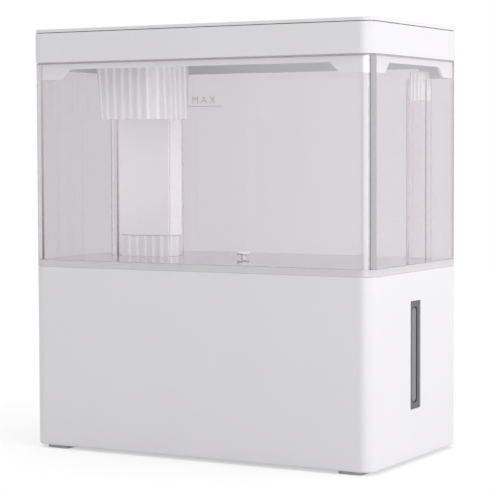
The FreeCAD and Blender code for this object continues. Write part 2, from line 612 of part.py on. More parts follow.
def controls():
    """Cup in the left wall, the dimmer behind it with its nut, and the knob on its shaft."""
    cup = new_body("knob_cup")
    outside = circle("cup_radius + cup_wall", 0, KNOB_HEIGHT)
    pad(cup, "YZ", "-body_width/2", CUP_FLOOR_X, outside, circle("cup_radius", 0, KNOB_HEIGHT))
    pad(cup, "YZ", CUP_FLOOR_X, f"{CUP_FLOOR_X} + cup_wall", outside,
        circle("pot_thread_radius + cup_gap", 0, KNOB_HEIGHT))
    pad(cup, "YZ", "base_wall - body_width/2", "base_wall + cup_flange_thickness - body_width/2",
        circle("cup_radius + cup_wall + cup_flange", 0, KNOB_HEIGHT),
        circle("cup_radius", 0, KNOB_HEIGHT))
    switch = new_body("potentiometer")
    behind = f"({CUP_FLOOR_X} + cup_wall)"
    tip = f"({CUP_FLOOR_X} - nut_height - knob_gap)"
    pad(switch, "YZ", behind, f"{behind} + pot_height",
        rectangle("pot_size", "pot_size", 0, KNOB_HEIGHT))
    pad(switch, "YZ", f"{CUP_FLOOR_X} - nut_height", behind,
        circle("pot_thread_radius", 0, KNOB_HEIGHT))
    pad(switch, "YZ", f"{tip} - knob_bore_depth + knob_gap", f"{CUP_FLOOR_X} - nut_height",
        circle("pot_shaft_radius", 0, KNOB_HEIGHT))
    nut = new_body("potentiometer_nut")
    half = "nut_width/2"
    long_half = f"({half}/cos(30 deg))"
    hexagon = polygon(*((f"{long_half}*cos({angle} deg)", f"{KNOB_HEIGHT} + {long_half}*sin({angle} deg)")
                        for angle in range(0, 360, 60)))
    pad(nut, "YZ", f"{CUP_FLOOR_X} - nut_height", CUP_FLOOR_X, hexagon,
        circle("pot_thread_radius", 0, KNOB_HEIGHT))
    knob = new_body("control_knob")
    pad(knob, "YZ", f"{tip} - knob_height + nut_height + knob_gap", tip,
        circle("knob_radius", 0, KNOB_HEIGHT))
    pocket(knob, "YZ", f"{tip} - knob_bore_depth", tip,
           circle("pot_shaft_radius + shaft_gap", 0, KNOB_HEIGHT))
    pocket(knob, "YZ", f"{tip} - knob_height + nut_height + knob_gap",
           f"{tip} - knob_height + nut_height + 2*knob_gap",
           rectangle("knob_gap", "knob_radius/2", 0, f"{KNOB_HEIGHT} + knob_radius*0.65"))


def power():
    """Inlet in the back wall and the supply board on its posts."""
    inlet = new_body("power_inlet")
    back = "body_depth/2"
    pad(inlet, "XZ", f"{back} - inlet_depth", back,
        rounded("inlet_width - 2*window_gap", "inlet_height - 2*window_gap", "window_radius",
                INLET_X, INLET_HEIGHT))
    pad(inlet, "XZ", f"{back} - base_wall - inlet_flange_thickness", f"{back} - base_wall",
        rounded("inlet_width + 2*inlet_flange", "inlet_height + 2*inlet_flange",
                "window_radius", INLET_X, INLET_HEIGHT))
    pocket(inlet, "XZ", f"{back} - socket_depth", back,
           rounded("socket_width", "socket_height", "socket_height/2.2", INLET_X, INLET_HEIGHT))
    for side in (-1, 1):
        pad(inlet, "XZ", f"{back} - socket_depth", f"{back} - inlet_flange",
            circle("socket_pin_radius", f"{INLET_X} + {side}*socket_width/4", INLET_HEIGHT))
    board = new_body("power_board")
    low = f"({COVER_TOP} + board_post_height)"
    pad(board, "XY", low, BOARD_TOP,
        rounded("power_board_width", "power_board_depth", "screw_radius"))
    for x, y in corners("power_board_width - 2*board_margin", "power_board_depth - 2*board_margin"):
        pocket(board, "XY", low, BOARD_TOP, circle("screw_radius + screw_gap", x, y))
    pad(board, "XY", BOARD_TOP, f"{BOARD_TOP} + board_margin*3",
        rectangle("board_margin*5", "board_margin*4", "-board_margin*3"))
    pad(board, "XY", BOARD_TOP, f"{BOARD_TOP} + board_margin*4",
        circle("board_margin", "board_margin*3", "board_margin*2"))
    pad(board, "XY", BOARD_TOP, f"{BOARD_TOP} + board_margin*2",
        rectangle("board_margin*2", "board_margin*3", "board_margin*3", "-board_margin*2"))
    place(board, POWER_BOARD_X)


def indicator():
    """Smoked window in the right wall with its light box, and the lamp board behind it."""
    window = new_body("indicator_window")
    flange = "2*window_flange"
    box_end = f"({BASE_INSIDE_X} - light_box_depth)"
    pad(window, "YZ", f"{BASE_INSIDE_X} - window_flange_thickness", BASE_INSIDE_X,
        rounded(f"window_width + {flange}", f"window_height + {flange}", "window_flange",
                "window_y", WINDOW_HEIGHT))
    pad(window, "YZ", BASE_INSIDE_X, "body_width/2 - window_recess",
        rounded("window_width - 2*window_gap", "window_height - 2*window_gap", "window_radius",
                "window_y", WINDOW_HEIGHT))
    pad(window, "YZ", box_end, f"{BASE_INSIDE_X} - window_flange_thickness",
        rectangle("window_width + 2*light_box_wall", "window_height + 2*light_box_wall",
                  "window_y", WINDOW_HEIGHT),
        rectangle("window_width", "window_height", "window_y", WINDOW_HEIGHT))
    board = new_body("indicator_board")
    pad(board, "YZ", f"{box_end} - board_thickness", box_end,
        rectangle("window_width + 2*window_flange", "window_height + 2*light_box_wall",
                  "window_y", WINDOW_HEIGHT))
    lamp = pad(board, "YZ", box_end, f"{box_end} + board_thickness",
               rectangle("window_width/4", "window_width/4", "window_y",
                         f"{WINDOW_HEIGHT} - window_height*3/8"))
    repeat_along(board, lamp, "Z", "window_height/4", "4")


# Tank

def tank_shell():
    """Clear tank: four walls, a floor set above its foot, and holes for mist and valve."""
    body = new_body("tank_shell")
    outer = rounded("body_width", "body_depth", "corner_radius")
    inner = rounded("body_width - 2*tank_wall", "body_depth - 2*tank_wall", "tank_inner_radius")
    pad(body, "XY", BASE_TOP, TANK_TOP, outer, inner)
    pad(body, "XY", FLOOR_BOTTOM, FLOOR_TOP, outer,
        rounded(TUBE_INNER_WIDTH, TUBE_INNER_DEPTH, TUBE_INNER_RADIUS, TUBE_X, "tube_y"),
        circle("valve_hole_radius", "valve_x", "valve_y"),
        rounded("pipe_width - 2*pipe_wall", "pipe_depth - 2*pipe_wall", "pipe_radius - pipe_wall",
                PIPE_X, PIPE_Y))


def mist_tube():
    """Clear tube that carries the mist up through the water, and its white liner."""
    tube = new_body("mist_tube")
    pad(tube, "XY", FLOOR_TOP, TUBE_TOP, rounded("tube_width", "tube_depth", "tube_radius"),
        rounded(TUBE_INNER_WIDTH, TUBE_INNER_DEPTH, TUBE_INNER_RADIUS))
    place(tube, TUBE_X, "tube_y")
    liner = new_body("mist_tube_liner")
    inside = rounded(f"{TUBE_INNER_WIDTH} - 2*liner_gap - 2*liner_wall",
                     f"{TUBE_INNER_DEPTH} - 2*liner_gap - 2*liner_wall",
                     f"{TUBE_INNER_RADIUS} - liner_gap - liner_wall")
    pad(liner, "XY", f"{FLOOR_TOP} + liner_rise", TUBE_TOP,
        rounded(f"{TUBE_INNER_WIDTH} - 2*liner_gap", f"{TUBE_INNER_DEPTH} - 2*liner_gap",
                f"{TUBE_INNER_RADIUS} - liner_gap"), inside)
    pad(liner, "XY", TUBE_TOP, f"{TUBE_TOP} + liner_wall",
        rounded("tube_width - tube_wall", "tube_depth - tube_wall", "tube_radius - tube_wall/2"),
        inside)
    place(liner, TUBE_X, "tube_y")


def overflow():
    """Slim clear pipe by the back right corner for surplus water, and the strainer in its mouth."""
    pipe = new_body("overflow_pipe")
    pad(pipe, "XY", FLOOR_TOP, PIPE_TOP, rounded("pipe_width", "pipe_depth", "pipe_radius"),
        rounded("pipe_width - 2*pipe_wall", "pipe_depth - 2*pipe_wall", "pipe_radius - pipe_wall"))
    place(pipe, PIPE_X, PIPE_Y)
    strainer = new_body("overflow_strainer")
    low, top = f"({PIPE_TOP} - strainer_depth)", f"({PIPE_TOP} + strainer_rise)"
    inset = "2*(pipe_wall + strainer_gap)"
    radius = "(pipe_radius - pipe_wall - strainer_gap)"
    width, depth = f"(pipe_width - {inset})", f"(pipe_depth - {inset})"
    pad(strainer, "XY", low, top, rounded(width, depth, radius),
        rounded(f"{width} - 2*strainer_wall", f"{depth} - 2*strainer_wall",
                f"{radius} - strainer_wall"))
    slot_height = f"({top} - {low} - 2*strainer_rim)"
    for axis, plane, reach in (("X", "XZ", depth), ("Y", "YZ", width)):
        count = f"strainer_slots_{axis.lower()}"
        slot = pocket(strainer, plane, f"-{reach}/2", f"{reach}/2",
                      rectangle("strainer_slot", slot_height,
                                f"-strainer_pitch*({count} - 1)/2", f"({low} + {top})/2"))
        repeat_along(strainer, slot, axis, "strainer_pitch", count)
    place(strainer, PIPE_X, PIPE_Y)


def tank_valve():
    """Valve in the tank floor: seat, sprung plunger and seal, pushed open by the basin's post."""
    seat = new_body("valve_seat")
    pad(seat, "XY", VALVE_BOTTOM, FLOOR_BOTTOM, circle("valve_flange_radius"),
        circle("stem_radius + stem_gap"))
    pad(seat, "XY", FLOOR_BOTTOM, SEAT_TOP, circle("valve_hole_radius - valve_gap"),
        circle("stem_radius + stem_gap"))
    port = pocket(seat, "XY", VALVE_BOTTOM, SEAT_TOP,
                  circle("valve_port_radius", "valve_port_circle"))
    repeat_round(seat, port, "valve_ports")
    place(seat, "valve_x", "valve_y")
    plunger = new_body("valve_plunger")
    seal_bottom = f"({SEAT_TOP} + valve_travel)"
    head_bottom = f"({seal_bottom} + valve_seal_thickness)"
    pad(plunger, "XY", STEM_BOTTOM, f"{STEM_BOTTOM} + button_height", circle("button_radius"))
    pad(plunger, "XY", f"{STEM_BOTTOM} + button_height", head_bottom, circle("stem_radius"))
    pad(plunger, "XY", head_bottom, f"{head_bottom} + valve_head", circle("valve_head_radius"))
    place(plunger, "valve_x", "valve_y")
    seal = new_body("valve_seal")
    pad(seal, "XY", seal_bottom, head_bottom, circle("valve_head_radius - valve_gap"),
        circle("stem_radius"))
    place(seal, "valve_x", "valve_y")
    valve_spring()


def valve_spring():
    """Helical spring between the seat and the plunger's button."""
    wire, turns = number("spring_wire"), number("spring_turns")
    low, high = number(f"{VALVE_BOTTOM} - spring_length") + wire, number(VALVE_BOTTOM) - wire
    middle = number("spring_radius - spring_wire")
    path = Part.Wire(Part.makeHelix((high - low) / turns, high - low, middle).Edges)
    section = Part.Wire(Part.makeCircle(wire, Vector(middle, 0, 0), Vector(0, 1, 0)))
    item = document.addObject("Part::Feature", "valve_spring")
    item.Label = "valve_spring"
    item.Shape = path.makePipeShell([section], True, True)
    item.Placement.Base = Vector(number("valve_x"), number("valve_y"), low)
    subparts.append(item)


# Lid

def lid_shell():
    """Rim of the lid with its inner deck, pierced for the nozzle."""
    body = new_body("lid_shell")
    outer = rounded("body_width + 2*lid_overhang", "body_depth + 2*lid_overhang",
                    "corner_radius + lid_overhang")
    inner = rounded("body_width + 2*lid_overhang - 2*lid_wall",
                    "body_depth + 2*lid_overhang - 2*lid_wall",
                    "corner_radius + lid_overhang - lid_wall")
    pad(body, "XY", TANK_TOP, RIM_TOP, outer, inner)
    pad(body, "XY", LID_DECK_BOTTOM, LID_DECK_TOP, outer,
        circle("outlet_pipe_radius + outlet_gap", TUBE_X, "tube_y"))


def lid_plate():
    """Top plate of the lid, with a locating flange and a well for the nozzle."""
    body = new_body("lid_plate")
    grow = "2*lid_overhang - 2*plate_inset"
    bezel_hole = circle("nozzle_radius + bezel_width", TUBE_X, "tube_y")
    pad(body, "XY", PLATE_BOTTOM, PLATE_TOP,
        rounded(f"body_width + {grow}", f"body_depth + {grow}",
                "corner_radius + lid_overhang - plate_inset"), bezel_hole)
    reach = "2*lid_overhang - 2*lid_wall - 2*plate_gap"
    corner = "corner_radius + lid_overhang - lid_wall - plate_gap"
    pad(body, "XY", LID_DECK_TOP, PLATE_BOTTOM,
        rounded(f"body_width + {reach}", f"body_depth + {reach}", corner),
        rounded(f"body_width + {reach} - 2*plate_flange_wall",
                f"body_depth + {reach} - 2*plate_flange_wall", f"{corner} - plate_flange_wall"))


def lid_skirt():
    """Skirt that hangs inside the tank walls, deeper at the four corners."""
    body = new_body("lid_skirt")
    inset = "(2*tank_wall + 2*skirt_gap)"
    corner = "corner_radius - tank_wall - skirt_gap"
    low = f"({TANK_TOP} - skirt_tab_drop)"
    pad(body, "XY", low, LID_DECK_BOTTOM,
        rounded(f"body_width - {inset}", f"body_depth - {inset}", corner),
        rounded(f"body_width - {inset} - 2*skirt_wall", f"body_depth - {inset} - 2*skirt_wall",
                f"{corner} - skirt_wall"))
    for plane, across, along in (("XZ", "body_depth", "body_width"),
                                 ("YZ", "body_width", "body_depth")):
        half = f"({along}/2 - tank_wall - skirt_tab)"
        top = f"({TANK_TOP} - skirt_drop)"
        pocket(body, plane, f"-{across}/2", f"{across}/2",
               polygon((f"-{half}", low), (half, low), (f"{half} - skirt_slant", top),
                       (f"skirt_slant - {half}", top)))


def mist_collar():
    """Ribbed collar round the top of the mist tube, with a front that leans in downwards."""
    body = new_body("mist_collar")
    low = f"({TANK_TOP} - collar_drop)"
    for kind, inset in (("AdditiveLoft", "0"), ("SubtractiveLoft", "collar_wall")):
        width, depth = f"(collar_width - 2*{inset})", f"(collar_depth - 2*{inset})"
        radius = f"(collar_radius - {inset})"
        loft(kind, body, (LID_DECK_BOTTOM, rounded(width, depth, radius)),
             (low, rounded(width, f"{depth} - collar_slant", radius, 0, "collar_slant/2")))
    deep = "(collar_rib_proud + collar_wall/2)"
    reach = "(collar_rib_proud/2 - collar_wall/4)"
    start_x = "(-collar_rib_pitch*(collar_ribs_x - 1)/2)"
    start_y = "(collar_slant/2 - collar_rib_pitch*(collar_ribs_y - 1)/2)"
    front, back = f"(-collar_depth/2 - {reach})", f"(collar_depth/2 + {reach})"
    rib = loft("AdditiveLoft", body,
               (LID_DECK_BOTTOM, rectangle("collar_rib_width", deep, start_x, front)),
               (low, rectangle("collar_rib_width", deep, start_x, f"{front} + collar_slant")))
    repeat_along(body, rib, "X", "collar_rib_pitch", "collar_ribs_x")
    rib = pad(body, "XY", low, LID_DECK_BOTTOM, rectangle("collar_rib_width", deep, start_x, back))
    repeat_along(body, rib, "X", "collar_rib_pitch", "collar_ribs_x")
    for side in (-1, 1):
        rib = pad(body, "XY", low, LID_DECK_BOTTOM,
                  rectangle(deep, "collar_rib_width", f"{side}*(collar_width/2 + {reach})",
                            start_y))
        repeat_along(body, rib, "Y", "collar_rib_pitch", "collar_ribs_y")
    place(body, TUBE_X)


def nozzle():
    """Turning mist outlet, flush with the lid, and the bezel that holds it."""
    bezel = new_body("nozzle_bezel")
    outer = circle("nozzle_radius + bezel_width - bezel_gap")
    pad(bezel, "XY", LID_DECK_TOP, PLATE_TOP, outer, circle("nozzle_radius + nozzle_gap"))
    place(bezel, TUBE_X, "tube_y")
    head = new_body("mist_nozzle")
    low = f"({LID_DECK_TOP} + nozzle_gap)"
    top = f"({PLATE_TOP} - nozzle_sink)"
    pad(head, "XY", low, top, circle("nozzle_radius"), circle("nozzle_radius - nozzle_wall"))
    pad(head, "XY", f"{top} - nozzle_wall", top, circle("nozzle_radius"))
    pad(head, "XY", f"{TANK_TOP} - outlet_pipe_drop", low,
        circle("outlet_pipe_radius"), circle("outlet_pipe_radius - outlet_pipe_wall"))
    pad(head, "XY", low, f"{low} + nozzle_wall", circle("nozzle_radius"),
        circle("outlet_pipe_radius - outlet_pipe_wall"))
    pocket(head, "XY", f"{top} - nozzle_wall", top, rectangle("outlet_width", "outlet_length"))
    place(head, TUBE_X, "tube_y")


def build():
    """Make every sub-part, base first."""
    base_shell()
    bottom_cover()
    feet()
    water_basin()
    mist_maker()
    fog_chamber()
    fan()
    air_duct()
    water_float()
    controls()
    power()
    indicator()
    screw_group("cover_screws", corners(*PILLAR_SPREAD), BASE_BOTTOM,
                "screw_head_height", "screw_length")
    spread = corners("power_board_width - 2*board_margin", "power_board_depth - 2*board_margin")
    screw_group("board_screws", [(f"{POWER_BOARD_X} + {x}", y) for x, y in spread],
                f"{BOARD_TOP} + screw_head_height", "screw_head_height",
                "board_post_height", up=-1)
    tank_shell()
    mist_tube()
    overflow()
    tank_valve()
    lid_shell()
    lid_plate()
    lid_skirt()
    mist_collar()
    nozzle()


def write():
    """Check every object and shape, then export each sub-part."""
    document.recompute()
    for item in document.Objects:
        if {"Invalid", "Error"} & set(item.State):
            raise ValueError(f"{item.Name} ({item.Label}) failed: {item.State}")
    for item in subparts:
        if item.Shape.isNull() or not item.Shape.isValid():
            raise ValueError(f"{item.Label} has no valid shape")
    os.makedirs("parts", exist_ok=True)
    for item in subparts:
        item.Shape.exportStep(f"parts/{item.Label}.step")
        box = item.Shape.BoundBox
        print(f"{item.Label:22s} solids {len(item.Shape.Solids)} z {box.ZMin:.1f}..{box.ZMax:.1f}")


build()
write()
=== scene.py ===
"""Looks of a cool mist humidifier, laid out as a Blender add-on and run as a script.

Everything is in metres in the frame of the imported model: +Z up, the broad front faces -Y, the
indicator window is on the +X side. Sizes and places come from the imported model's own nodes.
"""

import json
import math
from collections import namedtuple

import bmesh
import bpy
import numpy as np
from bpy.props import FloatProperty, FloatVectorProperty, IntProperty, PointerProperty
from mathutils import Matrix, Vector


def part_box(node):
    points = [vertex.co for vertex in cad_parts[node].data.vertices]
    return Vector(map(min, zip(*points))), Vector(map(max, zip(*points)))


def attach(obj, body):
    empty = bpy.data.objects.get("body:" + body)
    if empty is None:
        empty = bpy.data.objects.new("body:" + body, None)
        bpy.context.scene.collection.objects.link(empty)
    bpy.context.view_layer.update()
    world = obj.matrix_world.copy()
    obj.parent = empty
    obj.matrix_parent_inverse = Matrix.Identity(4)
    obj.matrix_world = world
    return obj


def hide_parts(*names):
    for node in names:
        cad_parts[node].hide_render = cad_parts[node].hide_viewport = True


bl_info = {
    "name": "Cool mist humidifier",
    "version": (1, 0, 0),
    "blender": (4, 5, 0),
    "location": "3D View > Sidebar > Humidifier",
    "description": "Builds the humidifier's casing, tank, lid and finishes round its packed model",
    "category": "Add Mesh",
}

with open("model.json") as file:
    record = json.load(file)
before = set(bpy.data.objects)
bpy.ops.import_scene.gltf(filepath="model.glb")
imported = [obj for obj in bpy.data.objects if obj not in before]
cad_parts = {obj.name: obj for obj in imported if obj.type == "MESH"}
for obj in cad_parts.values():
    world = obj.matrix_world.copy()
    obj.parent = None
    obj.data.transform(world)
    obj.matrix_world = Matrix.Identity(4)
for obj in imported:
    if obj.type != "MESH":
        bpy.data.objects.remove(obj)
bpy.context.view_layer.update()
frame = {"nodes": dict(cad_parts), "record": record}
MM = 0.001
SEAT = 0.05 * MM        # Air left between clear pieces that rest on each other
SMOOTH_ANGLE = math.radians(35)
OUTSIDE = 0.2           # Beyond every wall, where the cutter of a hole ends
ALWAYS = 9.0            # A height that nothing reaches
ALMOST_HALF = 0.4999    # Largest corner radius, as a share of a side


# Sizes and colours that a user would change

def length(name, description, default):
    """A length that a user may change."""
    return FloatProperty(name=name, description=description, default=default, unit="LENGTH")


def colour(name, description, default):
    """A colour that a user may change."""
    return FloatVectorProperty(name=name, description=description, default=default, size=3,
                               subtype="COLOR")


class HumidifierSizes(bpy.types.PropertyGroup):
    """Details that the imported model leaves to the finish."""

    corner_steps: IntProperty(name="Corner steps", description="Facets in each upright corner",
                              default=14)
    edge: length("Edge rounding", "Rounding of moulded edges", 0.6 * MM)
    foot_edge: length("Foot edge", "Rounding of the base's lower edge", 2.2 * MM)
    body_corner: length("Body corner", "Radius of the upright corners", 10 * MM)
    tank_inner_corner: length("Tank inner corner", "Radius inside the tank's upright corners",
                              2 * MM)
    tank_wall: length("Tank wall", "Thickness of the clear walls", 3 * MM)
    flute_depth: length("Flute depth", "Depth of the collar's flutes", 0.35 * MM)
    flute_pitch: length("Flute pitch", "Distance between flutes", 7.6 * MM)
    collar_slant: length("Collar slant", "How far its front leans in", 2 * MM)
    liner_side: length("Liner side", "Flange beyond the sleeve's sides", 2.1 * MM)
    liner_front: length("Liner front", "Flange before the sleeve's front", 10 * MM)
    tube_corner: length("Tube corner", "Radius of the mist tube's corners", 6 * MM)
    spigot_pitch: length("Spigot rib pitch", "Distance between the spigot's ribs", 7.3 * MM)
    strainer_pitch: length("Strainer rib pitch", "Distance between the strainer's bars",
                           2.9 * MM)
    mark_height: length("Mark height", "Height of the MAX lettering", 6 * MM)
    numeral_height: length("Numeral height", "Height of dial numerals", 4 * MM)


class HumidifierColours(bpy.types.PropertyGroup):
    """Colours of the finishes, in linear light."""

    white: colour("White casing", "Base, lid and knob", (0.62, 0.61, 0.625))
    inner_white: colour("Inner white", "Basin, cover and skirt", (0.80, 0.795, 0.81))
    clear: colour("Clear tint", "Tank, tube and pipe", (0.822, 0.80, 0.817))
    frosted: colour("Frosted white", "Liner, collar, spigot and strainer", (0.94, 0.935, 0.95))
    smoked: colour("Smoked grey", "Indicator window", (0.06, 0.06, 0.063))
    print_red: colour("Mark red", "MAX mark on the tank", (0.72, 0.16, 0.15))
    print_grey: colour("Numeral grey", "Numerals round the knob", (0.22, 0.22, 0.23))


def grey(level):
    """A plain grey, with its alpha."""
    return (level,) * 3 + (1,)


# Node maths

class Value:
    """A node's output that takes arithmetic: each operator adds the Math node that it names."""

    def __init__(self, graph, socket):
        self.graph, self.socket = graph, socket

    def __add__(self, other):
        return self.graph.math("ADD", self, other)

    def __sub__(self, other):
        return self.graph.math("SUBTRACT", self, other)

    def __rsub__(self, other):
        return self.graph.math("SUBTRACT", other, self)

    def __mul__(self, other):
        return self.graph.math("MULTIPLY", self, other)

    __radd__, __rmul__ = __add__, __mul__


class Graph:
    """A material's node tree, with one method that adds any node."""

    def __init__(self, name):
        self.material = bpy.data.materials.new(name)
        self.material.use_nodes = True
        self.tree = self.material.node_tree
        self.tree.nodes.clear()

    def node(self, kind, settings=None, inputs=None, output=0):
        """Add a node, set its settings, then its sockets, and return one of its outputs."""
        node = self.tree.nodes.new(kind)
        for setting, value in (settings or {}).items():
            if setting == "stops":
                for stop, (position, colour) in zip(node.color_ramp.elements, value):
                    stop.position, stop.color = position, colour
            else:
                setattr(node, setting, value)
        for socket, value in (inputs or {}).items():
            if isinstance(value, Value):
                self.tree.links.new(value.socket, node.inputs[socket])
            else:
                node.inputs[socket].default_value = value
        return Value(self, node.outputs[output]) if node.outputs else node

    def math(self, operation, first, second):
        """A Math node on two values."""
        return self.node("ShaderNodeMath", {"operation": operation}, {0: first, 1: second})

    def mix(self, share, first, second):
        """A Mix node on two colours."""
        return self.node("ShaderNodeMix", {"data_type": "RGBA"}, {0: share, 6: first, 7: second}, 2)

    def blend(self, share, first, second):
        """A Mix Shader node."""
        return self.node("ShaderNodeMixShader", {}, {0: share, 1: first, 2: second})

    def principled(self, **inputs):
        """A Principled node, with an underscore for each space in a socket's name."""
        return self.node("ShaderNodeBsdfPrincipled", {}, {
            socket.replace("_", " "): value for socket, value in inputs.items()})

    def air(self, passed):
        """A shader that lets a share of the light straight through."""
        return self.node("ShaderNodeBsdfTransparent", {}, {"Color": grey(passed)})

    def ray(self, name):
        """One of the Light Path node's outputs."""
        return self.node("ShaderNodeLightPath", output=name)

    def place(self):
        """The object's own coordinates."""
        return self.node("ShaderNodeTexCoord", output="Object")

    def noise(self, scale, detail, stretch=(1, 1, 1)):
        """Noise about 1/scale metres across, drawn out along an axis by stretch."""
        seen = self.node("ShaderNodeMapping", {}, {"Vector": self.place(), "Scale": stretch})
        return self.node("ShaderNodeTexNoise", {}, {"Vector": seen, "Scale": scale,
                                                    "Detail": detail}, "Fac")

    def bump(self, height, strength, distance):
        """A Bump node."""
        return self.node("ShaderNodeBump", {}, {"Height": height, "Strength": strength,
                                                "Distance": distance})

    def lit_through(self, body, share, passed):
        """Let a share of the light on its way to what stands inside pass a shader."""
        lighting = self.ray("Is Shadow Ray") + self.ray("Is Diffuse Ray")
        return self.blend(lighting * share, body, self.air(passed))

    def finish(self, shader):
        """Send a shader to the output and return the material."""
        self.node("ShaderNodeOutputMaterial", {}, {"Surface": shader})
        return self.material


def shade(colour, factor):
    """A colour darkened or lightened by a factor, with its alpha."""
    return tuple(min(1.0, channel * factor) for channel in colour[:3]) + (1.0,)


def moulded(name, colour, roughness, grain=0.02, **constants):
    """Moulded plastic: faint clouds in colour and gloss over a fine grain."""
    graph = Graph(name)
    clouds = graph.noise(22, 3)
    speckle = graph.noise(900, 1)
    tone = graph.mix(clouds, shade(colour, 0.985), shade(colour, 1.015))
    rough = clouds * 0.08 + speckle * 0.04 + (roughness - 0.06)
    normal = graph.bump(graph.noise(2600, 2) * 0.6 + graph.noise(60, 1) * 0.4, grain, 0.2 * MM)
    return graph.finish(graph.principled(Base_Color=tone, Roughness=rough, Normal=normal,
                                         **constants))


def clear(name, colour, lines, matt_below=0.0, shade_painted_above=ALWAYS, leak=0.55):
    """Clear moulded plastic with faint flow lines, darker where it is seen along its skin.

    Its skin is matt below one height, and above another its rim takes a darker tint: painted
    shade for the shade under the lid's rim. Painted dark lines stand in for the shade where a
    corner bends light away: each is given as an upright axis, how far it reaches from that,
    the heights where it is full and where it has faded out, and its strength. Light on the way
    to what stands inside passes with a little loss, light that has been led some way along a
    wall leaks out of it, and light that has been led a long way leaves it.
    """
    graph = Graph(name)
    flow = graph.noise(14, 2, (1, 1, 0.25))
    normal = graph.bump(flow, 0.004, 1.0 * MM)
    tone = graph.mix(flow, shade(colour, 0.99), shade(colour, 1.01))
    slope = graph.node("ShaderNodeLayerWeight", {}, {"Blend": 0.5}, "Facing")
    tone = graph.mix(slope * slope, tone, shade(colour, 0.9))
    across, along, height = (graph.node("ShaderNodeSeparateXYZ", {}, {0: graph.place()}, axis)
                             for axis in "XYZ")
    # Painted shade: each line darkens the tint near an upright axis, fading with height
    for centre, reach, full, faded, dark in lines:
        off_x, off_y = across - centre[0], along - centre[1]
        near = graph.math("LESS_THAN", off_x * off_x + off_y * off_y, reach ** 2)
        fade = (height - faded) * (dark / (full - faded))
        tone = graph.mix(near * fade, tone, grey(0))
    matt = graph.math("LESS_THAN", height, matt_below)
    # Painted shade: above this height, just under the lid's rim, the tint is darkened
    rim_shade = graph.math("GREATER_THAN", height, shade_painted_above)
    tone = graph.mix(rim_shade, tone, shade(colour, 0.66))
    glass = graph.principled(Base_Color=tone, Roughness=0.0, IOR=1.49, Transmission_Weight=1.0,
                             Normal=normal)
    milky = graph.mix(flow, shade(colour, 0.62), shade(colour, 0.69))
    milk = graph.principled(Base_Color=milky, Roughness=0.5, Normal=normal)
    body = graph.blend(matt * 0.8, glass, milk)
    for depth, limit, passed in (("Glossy Depth", 2.5, leak), ("Ray Depth", 9.5, 1.0)):
        led_far = graph.math("GREATER_THAN", graph.ray(depth), limit)
        body = graph.blend(led_far, body, graph.air(passed))
    return graph.finish(graph.lit_through(body, 1.0, 0.99))


def frosted(name, colour, alpha, denser):
    """Milky plastic that lets some of what is behind it show, and is denser and lighter
    where it is marked as a crest: at the ribs of a spigot or strainer, and along the bottom
    of a collar's grooves, where the lighter tone is a painted highlight.
    """
    graph = Graph(name)
    clouds = graph.noise(40, 3)
    crest = graph.node("ShaderNodeAttribute", {"attribute_name": "crest"}, output="Fac")
    body = graph.math("MINIMUM", crest * 1.8, 1.0)
    # Painted highlight: marked vertices take the lighter tone, which on the collar lights its
    # grooves
    tone = graph.mix(body, shade(colour, 0.92), shade(colour, 1.06))
    normal = graph.bump(graph.noise(1800, 2), 0.03, 0.1 * MM)
    milk = graph.principled(Base_Color=tone, Roughness=clouds * 0.1 + 0.35,
                            Alpha=body * denser + clouds * 0.06 + (alpha - 0.03), Normal=normal)
    return graph.finish(graph.lit_through(milk, 0.95, 0.97))


def metal(name, colour, roughness, stretch=(1, 1, 1)):
    """Plain metal with fine scratches drawn out along one axis."""
    graph = Graph(name)
    scratches = graph.noise(700, 3, stretch)
    tone = graph.mix(scratches, shade(colour, 0.9), shade(colour, 1.06))
    return graph.finish(graph.principled(
        Base_Color=tone, Roughness=scratches * 0.2 + (roughness - 0.1), Metallic=1.0,
        Normal=graph.bump(scratches, 0.1, 0.05 * MM)))


def laminate(name):
    """Circuit board: green mask over copper tracks on a fine grid."""
    graph = Graph(name)
    grid = {"Vector": graph.place(), "Scale": 120.0, "Mortar Size": 0.06}
    greens = {"Color1": (0.01, 0.12, 0.05, 1), "Color2": (0.012, 0.15, 0.06, 1),
              "Mortar": (0.03, 0.26, 0.11, 1)}
    tracks = graph.node("ShaderNodeTexBrick", {"offset": 0.5}, {**grid, **greens}, "Color")
    edges = graph.node("ShaderNodeTexBrick", {"offset": 0.5}, grid, "Fac")
    return graph.finish(graph.principled(Base_Color=tracks, Roughness=edges * 0.15 + 0.3,
                                         Normal=graph.bump(edges, 0.2, 0.05 * MM)))


def ink(name, colour, alpha=1.0):
    """Printed ink, a little uneven."""
    graph = Graph(name)
    uneven = graph.noise(1500, 2)
    tone = graph.mix(uneven, shade(colour, 0.9), shade(colour, 1.1))
    return graph.finish(graph.principled(Base_Color=tone, Roughness=uneven * 0.2 + 0.4,
                                         Alpha=alpha))


FINISHES = {}


def finish_for(slot):
    """The material of one of the record's slots, or of a print, made once.

    Blender ends a material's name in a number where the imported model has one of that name.
    """
    if not FINISHES:
        for material in all_finishes(bpy.context.scene.humidifier_colours):
            FINISHES[material.name.split(".")[0]] = material
    return FINISHES[slot]


